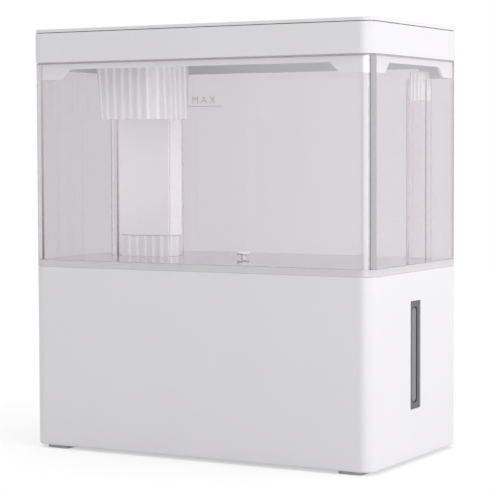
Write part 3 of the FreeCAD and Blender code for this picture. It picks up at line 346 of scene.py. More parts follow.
def all_finishes(colours):
    """Every material of the humidifier.

    The clear ones take painted dark lines, standing in for the shade where corners bend light
    away, beside the tank's left and near right corners and beside the tube's left front corner.
    """
    tank, tube = span("tank_shell"), span("mist_tube")
    floor = tube.low[2]
    # Painted dark lines, standing in for shade where the corners bend light away
    left_painted_line = (tank.low + [8.6 * MM, 3 * MM, 0], 1 * MM, floor, tank.high[2] + 60 * MM, 0.9)
    right_painted_line = ((tank.high[0] - 2.45 * MM, tank.low[1] + 3.4 * MM), 0.5 * MM, floor, ALWAYS,
                  0.75)
    tube_painted_line = (tube.low + [8.2 * MM, 2 * MM, 0], 0.8 * MM, floor, tube.high[2] + 20 * MM, 1.0)
    return (
        moulded("white_shell", colours.white, 0.42, 0.012, Specular_IOR_Level=0.3),
        moulded("white_inner", colours.inner_white, 0.5, 0.03),
        clear("clear_tank", colours.clear, (left_painted_line, right_painted_line), floor - 0.2 * MM,
              span("lid_shell").low[2] - 1.6 * MM),
        clear("clear_tube", shade(colours.clear, 1.21), (tube_painted_line,), leak=0.9),
        frosted("frosted", colours.frosted, 0.7, 0.27),
        # Painted light: spigot and strainer take the frosted white made lighter
        frosted("spigot", shade(colours.frosted, 1.08), 0.9, 0.1),
        frosted("strainer", shade(colours.frosted, 1.08), 0.45, 0.5),
        # Painted shade: the skirt takes the inner white a little darker, for the shade inside the
        # lid
        moulded("skirt", shade(colours.inner_white, 0.97), 0.5, 0.03),
        # Painted light: the liner takes the frosted white made lighter
        moulded("liner", shade(colours.frosted, 1.06), 0.5, Specular_IOR_Level=0.2),
        moulded("smoked", colours.smoked, 0.16, 0.01),
        moulded("lamp_bar", (0.15, 0.15, 0.155), 0.3, 0.01),
        moulded("rubber_grey", (0.36, 0.355, 0.36), 0.75, 0.1),
        moulded("rubber_white", (0.6, 0.6, 0.6), 0.6, 0.05),
        moulded("black_plastic", (0.03, 0.03, 0.032), 0.45, 0.05),
        metal("steel", (0.55, 0.55, 0.56), 0.32),
        metal("sink_metal", (0.70, 0.71, 0.72), 0.4, (1, 12, 1)),
        metal("disc_metal", (0.66, 0.52, 0.28), 0.3),
        laminate("board"),
        ink("red_print", colours.print_red, 0.27),
        ink("grey_print", colours.print_grey),
    )


# Shapes

def corner_path(width, depth, radius, steps):
    """Rounded rectangle, anticlockwise: point = corner centre + radius x normal."""
    radius = min(radius, ALMOST_HALF * width, ALMOST_HALF * depth)
    turn = np.linspace(0, np.pi / 2, steps + 1)
    angle = (np.arange(4)[:, None] * np.pi / 2 + turn).ravel()
    normals = np.stack([np.cos(angle), np.sin(angle)], -1)
    signs = np.array([[1, 1], [-1, 1], [-1, -1], [1, -1]]).repeat(steps + 1, 0)
    centres = signs * np.array([width / 2 - radius, depth / 2 - radius])
    return centres + radius * normals, normals


def even_path(width, depth, radius, count):
    """The same outline in equal steps of arc length from the middle of its front.

    It takes one radius, or one for each corner in the order back right, back left, front left,
    front right. Side k runs between two corner centres with its normal at k quarter turns, then
    corner k turns the normal on by a quarter: point = centre + radius x normal on both.
    """
    radius = np.minimum(np.broadcast_to(radius, 4), ALMOST_HALF * min(width, depth))
    signs = np.array([[1, 1], [-1, 1], [-1, -1], [1, -1]])
    corners = signs * (np.array([width / 2, depth / 2]) - radius[:, None])
    sides = np.array([depth, width, depth, width]) - np.roll(radius, 1) - radius
    lengths = np.stack([sides, radius * np.pi / 2], 1).ravel()
    ends = np.cumsum(lengths)
    start = ends[5] + sides[3] / 2
    walked = (start + np.linspace(0, ends[-1], count, endpoint=False)) % ends[-1]
    piece = np.searchsorted(ends, walked, side="right")
    part = ((walked - (ends - lengths)[piece]) / lengths[piece])[:, None]
    side, straight = piece // 2, (piece % 2 == 0)[:, None]
    angle = (side + np.where(straight, 0, part)[:, 0]) * np.pi / 2
    normals = np.stack([np.cos(angle), np.sin(angle)], -1)
    between = corners[side - 1] * (1 - part) + corners[side] * part
    reach = radius[side - 1][:, None] * (1 - part) + radius[side][:, None] * part
    centres = np.where(straight, between, corners[side])
    return centres + np.where(straight, reach, radius[side][:, None]) * normals, normals


def soften(points, radius, closed=True, steps=4):
    """Round a profile's corners.

    Each corner becomes (1-t)^2 a + 2t(1-t) corner + t^2 b for t from 0 to 1, where a and b lie
    radius along its two edges, or 0.45 of an edge where that is shorter.
    """
    corner = np.asarray(points, float)

    def along(other):
        """The point on the way from each corner to its neighbour."""
        step = other - corner
        length = np.linalg.norm(step, axis=1, keepdims=True)
        reach = np.minimum(np.reshape(radius, (-1, 1)), 0.45 * length)
        return corner + step / np.maximum(length, 1e-12) * reach

    t = np.linspace(0, 1, steps + 1)[None, :, None]
    start, end = along(np.roll(corner, 1, 0))[:, None], along(np.roll(corner, -1, 0))[:, None]
    curve = (1 - t) ** 2 * start + 2 * t * (1 - t) * corner[:, None] + t ** 2 * end
    if closed:
        return curve.reshape(-1, 2)
    return np.vstack([corner[:1], curve[1:-1].reshape(-1, 2), corner[-1:]])


def carried(path, profile, centre=(0, 0), closed=True, swell=0.0, inside=None):
    """Carry a profile of (outset, height) pairs round a path.

    A point is path point + (outset + swell) x normal at that height. Where the points of an
    inside path and its distance in are given, points nearer to it are measured from it instead.
    A closed profile makes a solid ring, and an open one gets a cap at each end.
    """
    points, normals = path
    outset, height = np.asarray(profile, float).T
    spread = outset[:, None] + np.broadcast_to(swell, (len(outset), len(points)))
    flat = points + spread[..., None] * normals
    if inside:
        inner, depth = inside
        inward = (spread < -depth / 2)[..., None]
        flat = np.where(inward, inner + (spread + depth)[..., None] * normals, flat)
    flat = flat + np.asarray(centre, float)
    tall = np.broadcast_to(height[:, None, None], flat.shape[:2] + (1,))
    grid = np.arange(flat.shape[0] * flat.shape[1]).reshape(flat.shape[:2])
    lower = grid if closed else grid[:-1]
    upper = np.roll(grid, -1, 0) if closed else grid[1:]
    quads = np.stack([lower, np.roll(lower, -1, 1), np.roll(upper, -1, 1), upper], -1)
    faces = quads.reshape(-1, 4).tolist()
    if not closed:
        faces += [grid[0][::-1].tolist(), grid[-1].tolist()]
    return np.concatenate([flat, tall], -1).reshape(-1, 3), faces


def crests(piece, wave, rows):
    """Note on a carried piece's vertices how far up a crest each lies, from 0 to 1."""
    values = np.broadcast_to(wave, (rows, len(wave))).ravel()
    layer = piece.data.attributes.new("crest", "FLOAT", "POINT")
    layer.data.foreach_set("value", np.ascontiguousarray(values, dtype=np.float32))


def turned(shape, axis, place):
    """Turn a shape built along Z so that its height runs along +X, -X or +Y, and move it."""
    vertices, faces = shape
    x, y, z = vertices.T
    axes = {"+X": (z, x, y), "-X": (-z, -x, y), "+Y": (-x, z, y)}[axis]
    return np.stack(axes, -1) + place, faces


def placed(name, data):
    """A new object in the scene."""
    item = bpy.data.objects.new(name, data)
    bpy.context.scene.collection.objects.link(item)
    return item


def mesh_of(name, vertices, faces):
    """A mesh from vertices and faces."""
    mesh = bpy.data.meshes.new(name)
    mesh.from_pydata(np.asarray(vertices).tolist(), [], faces)
    return mesh


def evaluated(item):
    """The mesh of an object with its modifiers applied, or of a text."""
    graph = bpy.context.evaluated_depsgraph_get()
    return bpy.data.meshes.new_from_object(item.evaluated_get(graph))


def applied(piece):
    """Apply a piece's modifiers to its mesh."""
    mesh = evaluated(piece)
    piece.modifiers.clear()
    piece.data = mesh
    return piece


def shaded(piece):
    """Smooth shading with creases at edges sharper than SMOOTH_ANGLE.

    Normals are weighted by the faces' areas, so that flat walls stay optically flat.
    """
    piece.data.polygons.foreach_set("use_smooth", np.ones(len(piece.data.polygons), bool))
    piece.data.set_sharp_from_angle(angle=SMOOTH_ANGLE)
    modifier = piece.modifiers.new("Normals", "WEIGHTED_NORMAL")
    modifier.keep_sharp = True
    return applied(piece)


def new_piece(name, shape, slot, body, *nodes, finish=None):
    """Make a piece from vertices and faces, with its finish and body; it replaces the nodes."""
    return dress(name, mesh_of(name, *shape), slot, body, nodes, finish)


def dress(name, mesh, slot, body, nodes=(), finish=None):
    """Make a piece from a mesh, with its finish, its body and the nodes that it replaces."""
    piece = shaded(placed(name, mesh))
    piece.data.materials.clear()
    piece.data.materials.append(finish_for(finish or slot))
    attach(piece, body)
    if nodes:
        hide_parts(*nodes)
    return piece


def cut(piece, *shapes):
    """Cut closed shapes out of a piece."""
    cutters = []
    for shape in shapes:
        cutter = placed("cutter", mesh_of("cutter", *shape))
        modifier = piece.modifiers.new("Cut", "BOOLEAN")
        modifier.object, modifier.solver = cutter, "EXACT"
        cutters.append(cutter)
    applied(piece)
    for cutter in cutters:
        bpy.data.objects.remove(cutter)
    return shaded(piece)


def bevel(piece, width):
    """Bevel a piece's sharp edges and apply it."""
    modifier = piece.modifiers.new("Edges", "BEVEL")
    modifier.width, modifier.segments = width, 2
    modifier.limit_method, modifier.angle_limit = "ANGLE", SMOOTH_ANGLE
    modifier.use_clamp_overlap = True
    return shaded(applied(piece))


def node_shape(node):
    """A CAD node's mesh with doubles merged and flat faces rejoined."""
    same_place, flat = 0.001 * MM, math.radians(0.5)
    mesh = frame["nodes"][node].data.copy()
    work = bmesh.new()
    work.from_mesh(mesh)
    bmesh.ops.remove_doubles(work, verts=work.verts, dist=same_place)
    bmesh.ops.dissolve_limit(work, angle_limit=flat, verts=work.verts, edges=work.edges)
    work.to_mesh(mesh)
    work.free()
    return mesh


def refine(node, slot, body, width, finish=None):
    """Replace a CAD node by a copy of itself with softened edges."""
    return bevel(dress(node + "_moulding", node_shape(node), slot, body, [node], finish), width)


def lettering(name, words, height, matrix, slot, body, finish, spacing=1.0):
    """Flat lettering, centred on its place and drawn in the plane of the matrix."""
    capital = 0.7       # Height of a capital letter in a font of size 1
    curve = bpy.data.curves.new(name, "FONT")
    curve.body, curve.size = words, height / capital
    curve.align_x, curve.align_y = "CENTER", "CENTER"
    curve.space_character = spacing
    curve.extrude = 0.02 * MM
    text = placed(name, curve)
    mesh = evaluated(text)
    bpy.data.objects.remove(text)
    mesh.transform(matrix)
    return dress(name, mesh, slot, body, finish=finish)


Span = namedtuple("Span", "low high centre size")


def span(node):
    """A node's lowest corner, highest corner, centre and size, as arrays."""
    low, high = (np.array(corner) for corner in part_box(node))
    return Span(low, high, (low + high) / 2, high - low)


def capped(path, profile, rounding, centre=(0, 0), **options):
    """Carry an open profile with rounded corners round a path, with a cap at each end."""
    return carried(path, soften(profile, rounding, closed=False), centre, closed=False, **options)


def wall_ring(node, wall, radius, steps, high_trim=0.0):
    """An upright tube of even wall, nearly as tall as a node, with rounded rims."""
    low, high, centre, size = span(node)
    bottom, top = low[2] + SEAT, high[2] - high_trim
    profile = [(0, bottom), (0, top), (-wall, top), (-wall, bottom)]
    path = corner_path(size[0], size[1], radius, steps)
    return carried(path, soften(profile, 0.4 * MM), centre[:2])


def waves(width, depth, radius, pitch, steps, power):
    """How far up a crest each point of an even path is: cos^power of its turn, or 0 below it.

    One turn is about a pitch long, and a whole number of them goes round the path.
    """
    around = 2 * (width + depth) - 8 * radius + 2 * math.pi * radius
    turn = np.arange(round(around / pitch) * steps) / steps * 2 * np.pi
    return np.maximum(np.cos(turn), 0) ** power


def ribbed(name, node, slot, body, finish, outline, centre, profile, pitch, rib, closed=True):
    """An upright piece whose outset grows by a rounded rib every pitch: rib x cos^3 of the turn."""
    wave = waves(*outline, pitch, 8, 3)
    path = even_path(*outline, len(wave))
    outer = (profile[:, 0] > -0.4 * MM)[:, None]
    shape = carried(path, profile, centre, closed, swell=wave[None] * rib * outer)
    crests(new_piece(name, shape, slot, body, node, finish=finish), wave, len(profile))


def plain_prism(width, depth, radius, low, high, centre=(0, 0), steps=6):
    """A closed rounded bar between two heights."""
    path = corner_path(width, depth, radius, steps)
    return carried(path, [(0, low), (0, high)], centre, closed=False)


def soft_prism(width, depth, radius, low, high, edge, centre=(0, 0), steps=8):
    """A closed rounded bar with both rims rounded."""
    path = corner_path(width, depth, radius, steps)
    return capped(path, [(-edge, low), (0, low), (0, high), (-edge, high)], edge * 0.9, centre)


def wall_hole(node, axis, width, height, radius, start, steps=6):
    """A rounded bar level with a node's middle, from a start out through the wall beyond it."""
    place = span(node).centre * {"X": (0, 1, 1), "Y": (1, 0, 1)}[axis[1]]
    bar = plain_prism(width, height, radius, start, OUTSIDE, steps=steps)
    return turned(bar, axis, place)


# Operators, one for each piece or group of like pieces

class BuildOperator:
    """What the operators share: registration words and the sizes they read."""

    bl_options = {"REGISTER", "UNDO"}

    @property
    def sizes(self):
        """The sizes that a user may change."""
        return bpy.context.scene.humidifier_sizes


class HUMIDIFIER_OT_base(BuildOperator, bpy.types.Operator):
    """Outer casing of the base, its bottom cover, feet and screws."""

    bl_idname = "humidifier.base"
    bl_label = "Base casing"

    def execute(self, context):
        sizes = self.sizes
        low, high, centre, size = span("base_shell")
        clearance, ledge, thickness = 0.3 * MM, 4 * MM, 3 * MM
        wall = (size[0] - span("bottom_cover").size[0]) / 2 - clearance
        deck = high[2] - 2.5 * MM
        path = corner_path(size[0], size[1], sizes.body_corner, sizes.corner_steps)
        profile = [(0, low[2]), (0, high[2]), (-wall, high[2]), (-wall, deck),
                   (-wall - ledge, deck), (-wall - ledge, deck - thickness),
                   (-wall, deck - thickness), (-wall, low[2])]
        rounding = [sizes.foot_edge, sizes.edge] + [0.2 * MM] * 6
        shell = new_piece("base_casing", carried(path, soften(profile, rounding), centre[:2]),
                          "white_shell", "base", "base_shell")
        rim, lip, corner = 6 * MM, 4 * MM, 1.2 * MM
        window, inlet = span("indicator_window").size, span("power_inlet").size
        bore = 2 * (span("knob_cup").size[2] / 2 - 3 * MM + 0.1 * MM)
        cut(shell,
            wall_hole("indicator_window", "+X", window[1] - rim, window[2] - rim, corner, 0.1),
            wall_hole("knob_cup", "-X", bore, bore, bore / 2, 0.13, 16),
            wall_hole("power_inlet", "+Y", inlet[0] - lip, inlet[2] - lip, corner, 0.07))
        bevel(shell, 0.25 * MM)
        refine("bottom_cover", "white_inner", "base", 0.2 * MM)
        for side in ("left", "right"):
            for end in ("front", "back"):
                self.foot(f"foot_{side}_{end}")
        refine("cover_screws", "steel", "base", 0.15 * MM)
        return {"FINISHED"}

    def foot(self, node):
        """A rubber pad with a rounded tread and a shallow hollow in it."""
        low, high, centre, size = span(node)
        path = corner_path(size[0], size[1], 4 * MM, 8)
        profile = [(-3.2 * MM, low[2] + 0.5 * MM), (-2.4 * MM, low[2]), (0, low[2]), (0, high[2])]
        shape = capped(path, profile, [0, 0.3 * MM, 0.7 * MM, 0], centre[:2])
        new_piece(node + "_pad", shape, "rubber_grey", "base", node)


class HUMIDIFIER_OT_window(BuildOperator, bpy.types.Operator):
    """Smoked indicator window with a lamp bar behind its face."""

    bl_idname = "humidifier.window"
    bl_label = "Indicator window"

    def execute(self, context):
        node, rim = span("indicator_window"), 6.2 * MM
        width, height = node.size[1] - rim, node.size[2] - rim
        front = node.high[0]
        back, place = front - 3.2 * MM, [0, node.centre[1], node.centre[2]]
        lens = plain_prism(width, height, 1.1 * MM, back, front)
        hollow = plain_prism(width * 0.5, height - 9 * MM, 2 * MM, front - 1.2 * MM, front + MM)
        bar = soft_prism(width * 0.4, height - 11 * MM, width * 0.149, back, front - 0.5 * MM,
                         0.5 * MM)
        piece = new_piece("window_lens", turned(lens, "+X", place), "smoked", "base",
                          "indicator_window")
        cut(piece, turned(hollow, "+X", place))
        bevel(piece, 0.3 * MM)
        new_piece("window_lamp_bar", turned(bar, "+X", place), "smoked", "base",
                  finish="lamp_bar")
        return {"FINISHED"}


class HUMIDIFIER_OT_knob(BuildOperator, bpy.types.Operator):
    """Mist knob in its cup, with numerals round it."""

    bl_idname = "humidifier.knob"
    bl_label = "Mist knob"

    def execute(self, context):
        refine("knob_cup", "white_inner", "base", 0.4 * MM)
        _, high, centre, size = span("control_knob")
        radius, depth = size[2] / 2, size[0]
        grips, steps = 36, 6
        around = np.arange(grips * steps) / steps * 2 * np.pi
        profile = soften([(-3 * MM, 0), (0, 0), (0, depth), (-4 * MM, depth),
                          (-6 * MM, depth - MM)],
                         [0, 0.3 * MM, 1.2 * MM, 0.8 * MM, 0], closed=False)
        grip = np.clip(profile[:, 1] / depth, 0, 1) * (profile[:, 0] > -2 * MM)
        swell = (np.cos(around) - 1)[None] * 0.25 * MM * grip[:, None]
        cap = carried(even_path(2 * radius, 2 * radius, radius, grips * steps), profile,
                      closed=False, swell=swell)
        mark = soft_prism(1.6 * MM, 7 * MM, 0.7 * MM, depth - MM, depth - 0.5 * MM, 0.2 * MM,
                          (0, 4 * MM))
        place = [high[0], centre[1], centre[2]]
        new_piece("knob_cap", turned(cap, "-X", place), "white_shell", "knob", "control_knob")
        new_piece("knob_pointer", turned(mark, "-X", place), "black_plastic", "knob",
                  finish="grey_print")
        self.numerals(span("base_shell").low[0], centre)
        return {"FINISHED"}

    def numerals(self, wall, centre):
        """Numerals 0 to 5 on the wall round the cup, read from the left."""
        ring, apart = span("knob_cup").size[2] / 2 + 2.5 * MM, 56
        face = Matrix(((0, 0, -1, 0), (-1, 0, 0, 0), (0, 1, 0, 0), (0, 0, 0, 1)))
        for step in range(6):
            angle = math.radians(90 - step * apart)
            across, up = -math.cos(angle) * ring, math.sin(angle) * ring
            place = Matrix.Translation((wall, centre[1] + across, centre[2] + up))
            lettering(f"dial_numeral_{step}", str(step), self.sizes.numeral_height, place @ face,
                      "black_plastic", "base", "grey_print")


class HUMIDIFIER_OT_inlet(BuildOperator, bpy.types.Operator):
    """Power inlet in the back wall."""

    bl_idname = "humidifier.inlet"
    bl_label = "Power inlet"

    def execute(self, context):
        refine("power_inlet", "black_plastic", "base", 0.25 * MM)
        return {"FINISHED"}


class HUMIDIFIER_OT_tank(BuildOperator, bpy.types.Operator):
    """Clear tank with its floor, and the fill mark on its back wall."""

    bl_idname = "humidifier.tank"
    bl_label = "Water tank"

    def execute(self, context):
        sizes = self.sizes
        low, high, centre, size = span("tank_shell")
        wall = sizes.tank_wall
        floor_top = span("mist_tube").low[2]
        floor_low = floor_top - wall
        path = corner_path(size[0], size[1], sizes.body_corner, sizes.corner_steps)
        top, bottom = high[2] - SEAT, low[2] + SEAT
        inset = -wall - 0.9 * sizes.tank_inner_corner
        profile = [(inset, floor_low), (-wall, floor_low), (-wall, bottom), (0, bottom),
                   (0, top), (-wall, top), (-wall, floor_top), (inset, floor_top)]
        rounding = np.array([0, 0.8, 0.5, 0.6, 1.2, 0.5, 0.1, 0]) * MM
        inner, _ = corner_path(size[0] - 2 * wall, size[1] - 2 * wall, sizes.tank_inner_corner,
                               sizes.corner_steps)
        shape = capped(path, profile, rounding, centre[:2], inside=(inner, wall))
        tank = new_piece("tank_box", shape, "clear_tank", "tank", "tank_shell")
        holes = (("mist_tube", 2, 6), ("overflow_pipe", 1.8, 2.2), ("valve_seat", 3, 8))
        cut(tank, *(self.hole(node, thickness * MM, radius * MM)
                    for node, thickness, radius in holes))
        self.fill_mark(high[1] - wall)
        return {"FINISHED"}

    def hole(self, node, wall, radius):
        """A hole through the tank floor inside an upright node."""
        pipe, floor = span(node), span("mist_tube").low[2]
        return plain_prism(pipe.size[0] - 2 * wall, pipe.size[1] - 2 * wall, radius,
                           floor - 20 * MM, floor + 5 * MM, pipe.centre[:2], steps=10)

    def fill_mark(self, wall):
        """The word MAX over a line, on the inside of the back wall, read from the front."""
        line_height = span("tank_shell").high[2] - 32 * MM
        left, right, rise, line = -98 * MM, -62.4 * MM, 5.2 * MM, 0.6 * MM
        middle = (left + right) / 2
        place = Matrix.Translation((middle, wall - SEAT, line_height + rise))
        face = Matrix.Rotation(math.pi / 2, 4, "X")
        lettering("fill_mark_word", "MAX", self.sizes.mark_height, place @ face, "clear_tank",
                  "tank", "red_print", 1.5)
        bar = plain_prism(right - left, 0.05 * MM, 0.02 * MM, line_height, line_height + line,
                          (middle, wall - SEAT))
        new_piece("fill_mark_line", bar, "clear_tank", "tank", finish="red_print")


class HUMIDIFIER_OT_mist_way(BuildOperator, bpy.types.Operator):
    """Clear mist tube, its white liner and the ribbed spigot below it."""

    bl_idname = "humidifier.mist_way"
    bl_label = "Mist tube"

    def execute(self, context):
        tube = wall_ring("mist_tube", 2 * MM, self.sizes.tube_corner, self.sizes.corner_steps)
        new_piece("mist_tube_wall", tube, "clear_tank", "tank", "mist_tube", finish="clear_tube")
        self.liner()
        self.spigot()
        return {"FINISHED"}

    def liner(self):
        """Thin sleeve in the rear of the tube, with a flange that hangs on the tube's rim."""
        sizes = self.sizes
        low, high, centre, size = span("mist_tube_liner")
        flange, skin, reach = 1 * MM, 1 * MM, 10 * MM
        path = corner_path(size[0], size[1], 5 * MM, sizes.corner_steps)
        width = size[0] - 2 * sizes.liner_side
        depth = size[1] - sizes.liner_front - sizes.liner_side
        sleeve, _ = corner_path(width, depth, 2 * MM, sizes.corner_steps)
        set_back = [0, (sizes.liner_front - sizes.liner_side) / 2]
        seat = high[2] - flange + SEAT
        profile = [(-reach, low[2]), (-reach, seat), (0, seat), (0, high[2]),
                   (-reach - skin, high[2]), (-reach - skin, low[2])]
        shape = carried(path, soften(profile, 0.3 * MM), centre[:2],
                        inside=(sleeve + set_back, reach))
        new_piece("mist_liner", shape, "frosted", "tank", "mist_tube_liner", finish="liner")

    def spigot(self):
        """Upright foot of the mist way, set back like the liner."""
        low, high, centre, size = span("mist_spigot")
        set_back = self.sizes.liner_front - 2 * MM
        wall = 1.5 * MM
        profile = soften([(0, low[2]), (0, high[2]), (-wall, high[2]), (-wall, low[2])], 0.4 * MM)
        ribbed("mist_spigot_ribbed", "mist_spigot", "frosted", "base", "spigot",
               (size[0] - MM, size[1] - MM - set_back, 4 * MM), centre[:2] + [0, set_back / 2],
               profile, self.sizes.spigot_pitch, 0.5 * MM)


class HUMIDIFIER_OT_overflow(BuildOperator, bpy.types.Operator):
    """Slim clear pipe and the strainer in its mouth."""

    bl_idname = "humidifier.overflow"
    bl_label = "Overflow pipe"

    def execute(self, context):
        pipe = wall_ring("overflow_pipe", 1.8 * MM, 6 * MM, self.sizes.corner_steps, SEAT)
        new_piece("overflow_pipe_wall", pipe, "clear_tank", "tank", "overflow_pipe",
                  finish="clear_tube")
        low, high, centre, size = span("overflow_strainer")
        rib, inset, bottom = 0.5 * MM, -3 * MM, low[2] + SEAT
        profile = soften([(inset, bottom), (0, bottom), (0, high[2]), (inset, high[2])],
                         0.4 * MM, closed=False)
        ribbed("overflow_strainer_ribbed", "overflow_strainer", "frosted", "tank", "strainer",
               (size[0] - 2 * rib, size[1] - 2 * rib, 4 * MM), centre[:2], profile,
               self.sizes.strainer_pitch, rib, closed=False)
        return {"FINISHED"}


class HUMIDIFIER_OT_valve(BuildOperator, bpy.types.Operator):
    """Valve in the tank floor: seat, plunger and seal."""

    bl_idname = "humidifier.valve"
    bl_label = "Tank valve"

    def execute(self, context):
        refine("valve_seat", "clear_tank", "tank", 0.2 * MM)
        refine("valve_plunger", "frosted", "valve", 0.2 * MM, finish="liner")
        refine("valve_seal", "rubber_white", "valve", 0.2 * MM)
        return {"FINISHED"}


class HUMIDIFIER_OT_lid(BuildOperator, bpy.types.Operator):
    """Lid rim, top plate over a dark seam, and the skirt inside the tank."""

    bl_idname = "humidifier.lid"
    bl_label = "Lid"

    def execute(self, context):
        sizes = self.sizes
        low, high, centre, size = span("lid_shell")
        corner = sizes.body_corner + 0.5 * MM
        path = corner_path(size[0], size[1], corner, sizes.corner_steps)
        wall, shelf = -3 * MM, -6 * MM
        deck_top, deck_low = high[2] - 2 * MM, span("lid_skirt").high[2]
        profile = [(shelf, deck_low), (wall, deck_low), (wall, low[2]), (0, low[2]),
                   (0, high[2]), (wall, high[2]), (wall, deck_top), (shelf, deck_top)]
        rounding = np.array([0, 0.5, 0.3, 0.5, 0.5, 0.2, 0.2, 0]) * MM
        rim = new_piece("lid_rim", capped(path, profile, rounding, centre[:2]), "white_shell",
                        "lid", "lid_shell")
        bore = 10.08 * MM
        cut(rim, plain_prism(2 * bore, 2 * bore, bore, deck_low - 5 * MM, deck_top + 5 * MM,
                             span("mist_nozzle").centre[:2], steps=12))
        self.plate(corner)
        refine("lid_skirt", "white_inner", "lid", 0.4 * MM, finish="skirt")
        return {"FINISHED"}

    def plate(self, corner):
        """Top plate with a softened rim and a locating flange below it."""
        low, high, centre, size = span("lid_plate")
        seam = span("lid_shell").high[2] + 0.5 * MM
        path = corner_path(size[0], size[1], corner - 0.3 * MM, self.sizes.corner_steps)
        flange, inner = -3 * MM, -5 * MM
        profile = [(inner, seam), (inner, low[2]), (flange, low[2]), (flange, seam), (0, seam),
                   (0, high[2]), (inner, high[2])]
        rounding = np.array([0, 0.1, 0.1, 0.1, 0.3, 1.1, 0]) * MM
        plate = new_piece("lid_top_plate", capped(path, profile, rounding, centre[:2]),
                          "white_shell", "lid", "lid_plate")
        bezel = span("nozzle_bezel")
        hole = bezel.size[0] + 0.2 * MM
        cut(plate, plain_prism(hole, hole, hole / 2, low[2] - 5 * MM, high[2] + 5 * MM,
                               bezel.centre[:2], steps=20))


class HUMIDIFIER_OT_collar(BuildOperator, bpy.types.Operator):
    """Fluted collar that hangs from the lid round the mist tube."""

    bl_idname = "humidifier.collar"
    bl_label = "Mist collar"

    def execute(self, context):
        """Outset = - depth x cos^1.5 where the cosine is positive: a narrow soft groove between
        wide ribs. Every height is a blend of the upper outline and a lower one, whose front
        leans in and whose front corners are rounder.
        """
        sizes = self.sizes
        low, high, centre, size = span("mist_collar")
        width, depth = size[0] - 2 * sizes.flute_depth, size[1] - 2 * sizes.flute_depth
        radius, slant, wall = 10 * MM, sizes.collar_slant, 1.6 * MM
        groove = waves(width, depth, radius, sizes.flute_pitch, 10, 1.5)
        upper = even_path(width, depth, np.array([0.6, 0.6, 1, 1]) * radius, len(groove))
        lower = even_path(width, depth - slant, np.array([0.6, 0.6, 2, 2]) * radius, len(groove))
        profile = soften([(0, low[2]), (0, high[2]), (-wall, high[2]), (-wall, low[2])], 0.5 * MM)
        outer = (profile[:, 0] > -0.5 * MM)[:, None]
        swell = (1 - groove[None]) * sizes.flute_depth * outer
        top, faces = carried(upper, profile, centre[:2], swell=swell)
        bottom, faces = carried(lower, profile, centre[:2] + [0, slant / 2], swell=swell)
        drop = (high[2] - top[:, 2:]) / size[2]
        piece = new_piece("mist_collar_fluted", (top * (1 - drop) + bottom * drop, faces),
                          "frosted", "lid", "mist_collar")
        # Marking the grooves paints a highlight along them in the frosted finish
        crests(piece, groove, len(profile))
        return {"FINISHED"}


class HUMIDIFIER_OT_nozzle(BuildOperator, bpy.types.Operator):
    """Turning mist outlet and its bezel, flush with the lid."""

    bl_idname = "humidifier.nozzle"
    bl_label = "Mist nozzle"

    def execute(self, context):
        refine("mist_nozzle", "white_shell", "nozzle", 0.5 * MM)
        refine("nozzle_bezel", "white_inner", "lid", 0.3 * MM)
        return {"FINISHED"}


class HUMIDIFIER_OT_basin(BuildOperator, bpy.types.Operator):
    """Water basin under the tank, its fog cover and float."""

    bl_idname = "humidifier.basin"
    bl_label = "Water basin"

    def execute(self, context):
        refine("water_basin", "white_inner", "base", 0.5 * MM)
        refine("fog_cover", "white_inner", "base", 0.5 * MM)
        self.float_block()
        refine("float_cap", "white_inner", "base", 0.4 * MM)
        return {"FINISHED"}

    def float_block(self):
        """The float, a hair lower than its node so that it stops just under its cap."""
        node = span("water_float")
        share = 1 - 2 * SEAT / node.size[2]
        lift = Matrix.Translation((0, 0, node.low[2] * (1 - share)))
        piece = refine("water_float", "white_inner", "float", 0.6 * MM)
        piece.data.transform(lift @ Matrix.Diagonal((1, 1, share, 1)))


class HUMIDIFIER_OT_insides(BuildOperator, bpy.types.Operator):
    """Finishes for the CAD nodes that stay: fan, boards, mist maker and small parts."""

    bl_idname = "humidifier.insides"
    bl_label = "Inner parts"

    def execute(self, context):
        slots = {item["node"]: item["material_slot"] for item in frame["record"]["subparts"]}
        for node, piece in frame["nodes"].items():
            piece.data.materials.clear()
            piece.data.materials.append(finish_for(slots[node]))
        return {"FINISHED"}


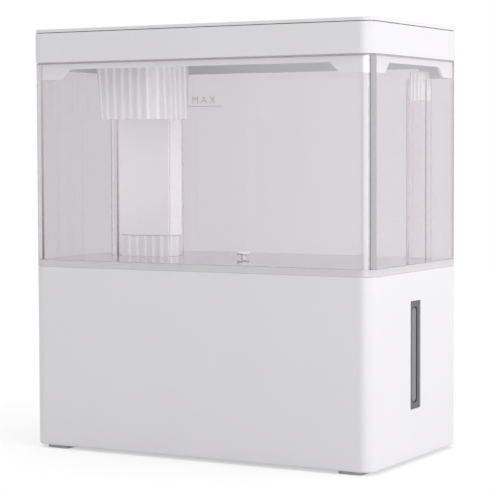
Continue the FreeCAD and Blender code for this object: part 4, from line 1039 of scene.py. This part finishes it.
class HUMIDIFIER_OT_stage(BuildOperator, bpy.types.Operator):
    """Floor, world light, cards, lamp and camera."""

    bl_idname = "humidifier.stage"
    bl_label = "Stage"

    def execute(self, context):
        self.floor()
        self.world(context.scene)
        self.card("card_behind", (-0.95, 1.68, 0.95), (0, 0, 0.95), 2.07, 2.0,
                  [(0.29, grey(0.79)), (0.6, grey(1))], 1.0, "transmission")
        self.card("card_front", (0.94, -1.3, 0.25), (0, 0, 0.2), 1.2, 0.5,
                  [(0.5, grey(1)), (1.0, grey(0.3))], 8.0, "glossy")
        self.lamp("key_right", (1.7, -0.3, 0.4), (0, 0, 0.16), 1.0, 15.0)
        self.camera(context.scene)
        context.scene.view_settings.view_transform = "Standard"
        return {"FINISHED"}

    def floor(self):
        """A wide white floor that keeps the object's shadow and shows near white."""
        graph = Graph("floor_white")
        led = graph.math("MINIMUM", graph.ray("Is Glossy Ray") + graph.ray("Is Transmission Ray"),
                         1.0)
        seen = graph.math("MINIMUM", graph.ray("Is Camera Ray") + led, 1.0)
        grain = graph.mix(graph.noise(90, 2), grey(0.88), grey(0.92))
        lit = graph.mix(led, graph.mix(seen, grain, grey(0.5)), grey(0.1))
        matt = graph.node("ShaderNodeBsdfDiffuse", {}, {"Color": lit})
        glow = graph.node("ShaderNodeEmission", {}, {"Color": grey(1),
                                                     "Strength": seen * 0.5 + led * 0.4})
        surface = graph.node("ShaderNodeAddShader", {}, {0: matt, 1: glow})
        self.sheet("floor", 8.0, 8.0, graph.finish(surface))

    def sheet(self, name, width, height, material):
        """A flat sheet of the stage about the origin, facing up."""
        x, y = width / 2, height / 2
        mesh = mesh_of(name, [(-x, -y, 0), (x, -y, 0), (x, y, 0), (-x, y, 0)], [(0, 1, 2, 3)])
        mesh.materials.append(material)
        sheet = placed(name, mesh)
        return sheet

    def aim(self, item, place, target, axis):
        """Put a thing at a place, with one of its axes towards a target."""
        item.location = place
        item.rotation_euler = (Vector(target) - Vector(place)).to_track_quat(axis, "Y").to_euler()

    def card(self, name, place, target, width, height, stops, strength, seen_by):
        """A card seen by one kind of ray alone, graded from one side to the other."""
        graph = Graph(name)
        across = graph.node("ShaderNodeSeparateXYZ", {}, {0: graph.place()}, "X")
        share = across * (1 / width) + 0.5
        grade = graph.node("ShaderNodeValToRGB", {"stops": stops}, {"Fac": share}, "Color")
        glow = graph.node("ShaderNodeEmission", {}, {"Color": grade, "Strength": strength})
        card = self.sheet(name, width, height, graph.finish(glow))
        self.aim(card, place, target, "Z")
        for ray in ("camera", "diffuse", "glossy", "transmission", "shadow", "volume_scatter"):
            setattr(card, "visible_" + ray, ray == seen_by)

    def world(self, scene):
        """A plain white surround."""
        world = bpy.data.worlds.new("studio")
        world.use_nodes = True
        background = world.node_tree.nodes["Background"]
        background.inputs["Color"].default_value = grey(1)
        background.inputs["Strength"].default_value = 1.0
        scene.world = world

    def lamp(self, name, place, target, size, power):
        """A square area lamp aimed at a point, which no reflection shows."""
        data = bpy.data.lights.new(name, "AREA")
        data.size, data.energy = size, power
        lamp = placed(name, data)
        self.aim(lamp, place, target, "-Z")
        lamp.visible_glossy = lamp.visible_transmission = False

    def camera(self, scene):
        """A long lens level with the lid, to the right of the front."""
        data = bpy.data.cameras.new("camera")
        data.sensor_width, data.lens = 36.0, 136.15
        data.clip_end = 20.0
        camera = placed("camera", data)
        yaw, pitch, roll = (math.radians(angle) for angle in (29.206, 3.0825, 0.2098))
        turn = (Matrix.Rotation(yaw, 4, "Z") @ Matrix.Rotation(math.pi / 2 - pitch, 4, "X")
                @ Matrix.Rotation(-roll, 4, "Z"))
        camera.matrix_world = Matrix.Translation((0.7031, -1.2563, 0.2339)) @ turn
        scene.camera = camera


class HUMIDIFIER_PT_panel(bpy.types.Panel):
    """Lists the humidifier's pieces in the sidebar."""

    bl_idname = "HUMIDIFIER_PT_panel"
    bl_label = "Humidifier"
    bl_space_type = "VIEW_3D"
    bl_region_type = "UI"
    bl_category = "Humidifier"

    def draw(self, context):
        for operator in OPERATORS:
            self.layout.operator(operator.bl_idname)
        for group in (context.scene.humidifier_sizes, context.scene.humidifier_colours):
            for name in group.__annotations__:
                self.layout.prop(group, name)


OPERATORS = (
    HUMIDIFIER_OT_insides, HUMIDIFIER_OT_base, HUMIDIFIER_OT_window, HUMIDIFIER_OT_knob,
    HUMIDIFIER_OT_inlet, HUMIDIFIER_OT_basin, HUMIDIFIER_OT_tank, HUMIDIFIER_OT_mist_way,
    HUMIDIFIER_OT_overflow, HUMIDIFIER_OT_valve, HUMIDIFIER_OT_lid, HUMIDIFIER_OT_collar,
    HUMIDIFIER_OT_nozzle, HUMIDIFIER_OT_stage,
)
CLASSES = (HumidifierSizes, HumidifierColours) + OPERATORS + (HUMIDIFIER_PT_panel,)


def register():
    """Register the classes and their settings."""
    for item in CLASSES:
        bpy.utils.register_class(item)
    bpy.types.Scene.humidifier_sizes = PointerProperty(type=HumidifierSizes)
    bpy.types.Scene.humidifier_colours = PointerProperty(type=HumidifierColours)


def unregister():
    """Undo register."""
    del bpy.types.Scene.humidifier_sizes
    del bpy.types.Scene.humidifier_colours
    for item in reversed(CLASSES):
        bpy.utils.unregister_class(item)


def main():
    """Build every piece."""
    register()
    for operator in OPERATORS:
        group, name = operator.bl_idname.split(".")
        getattr(getattr(bpy.ops, group), name)()


if __name__ == "__main__":
    main()
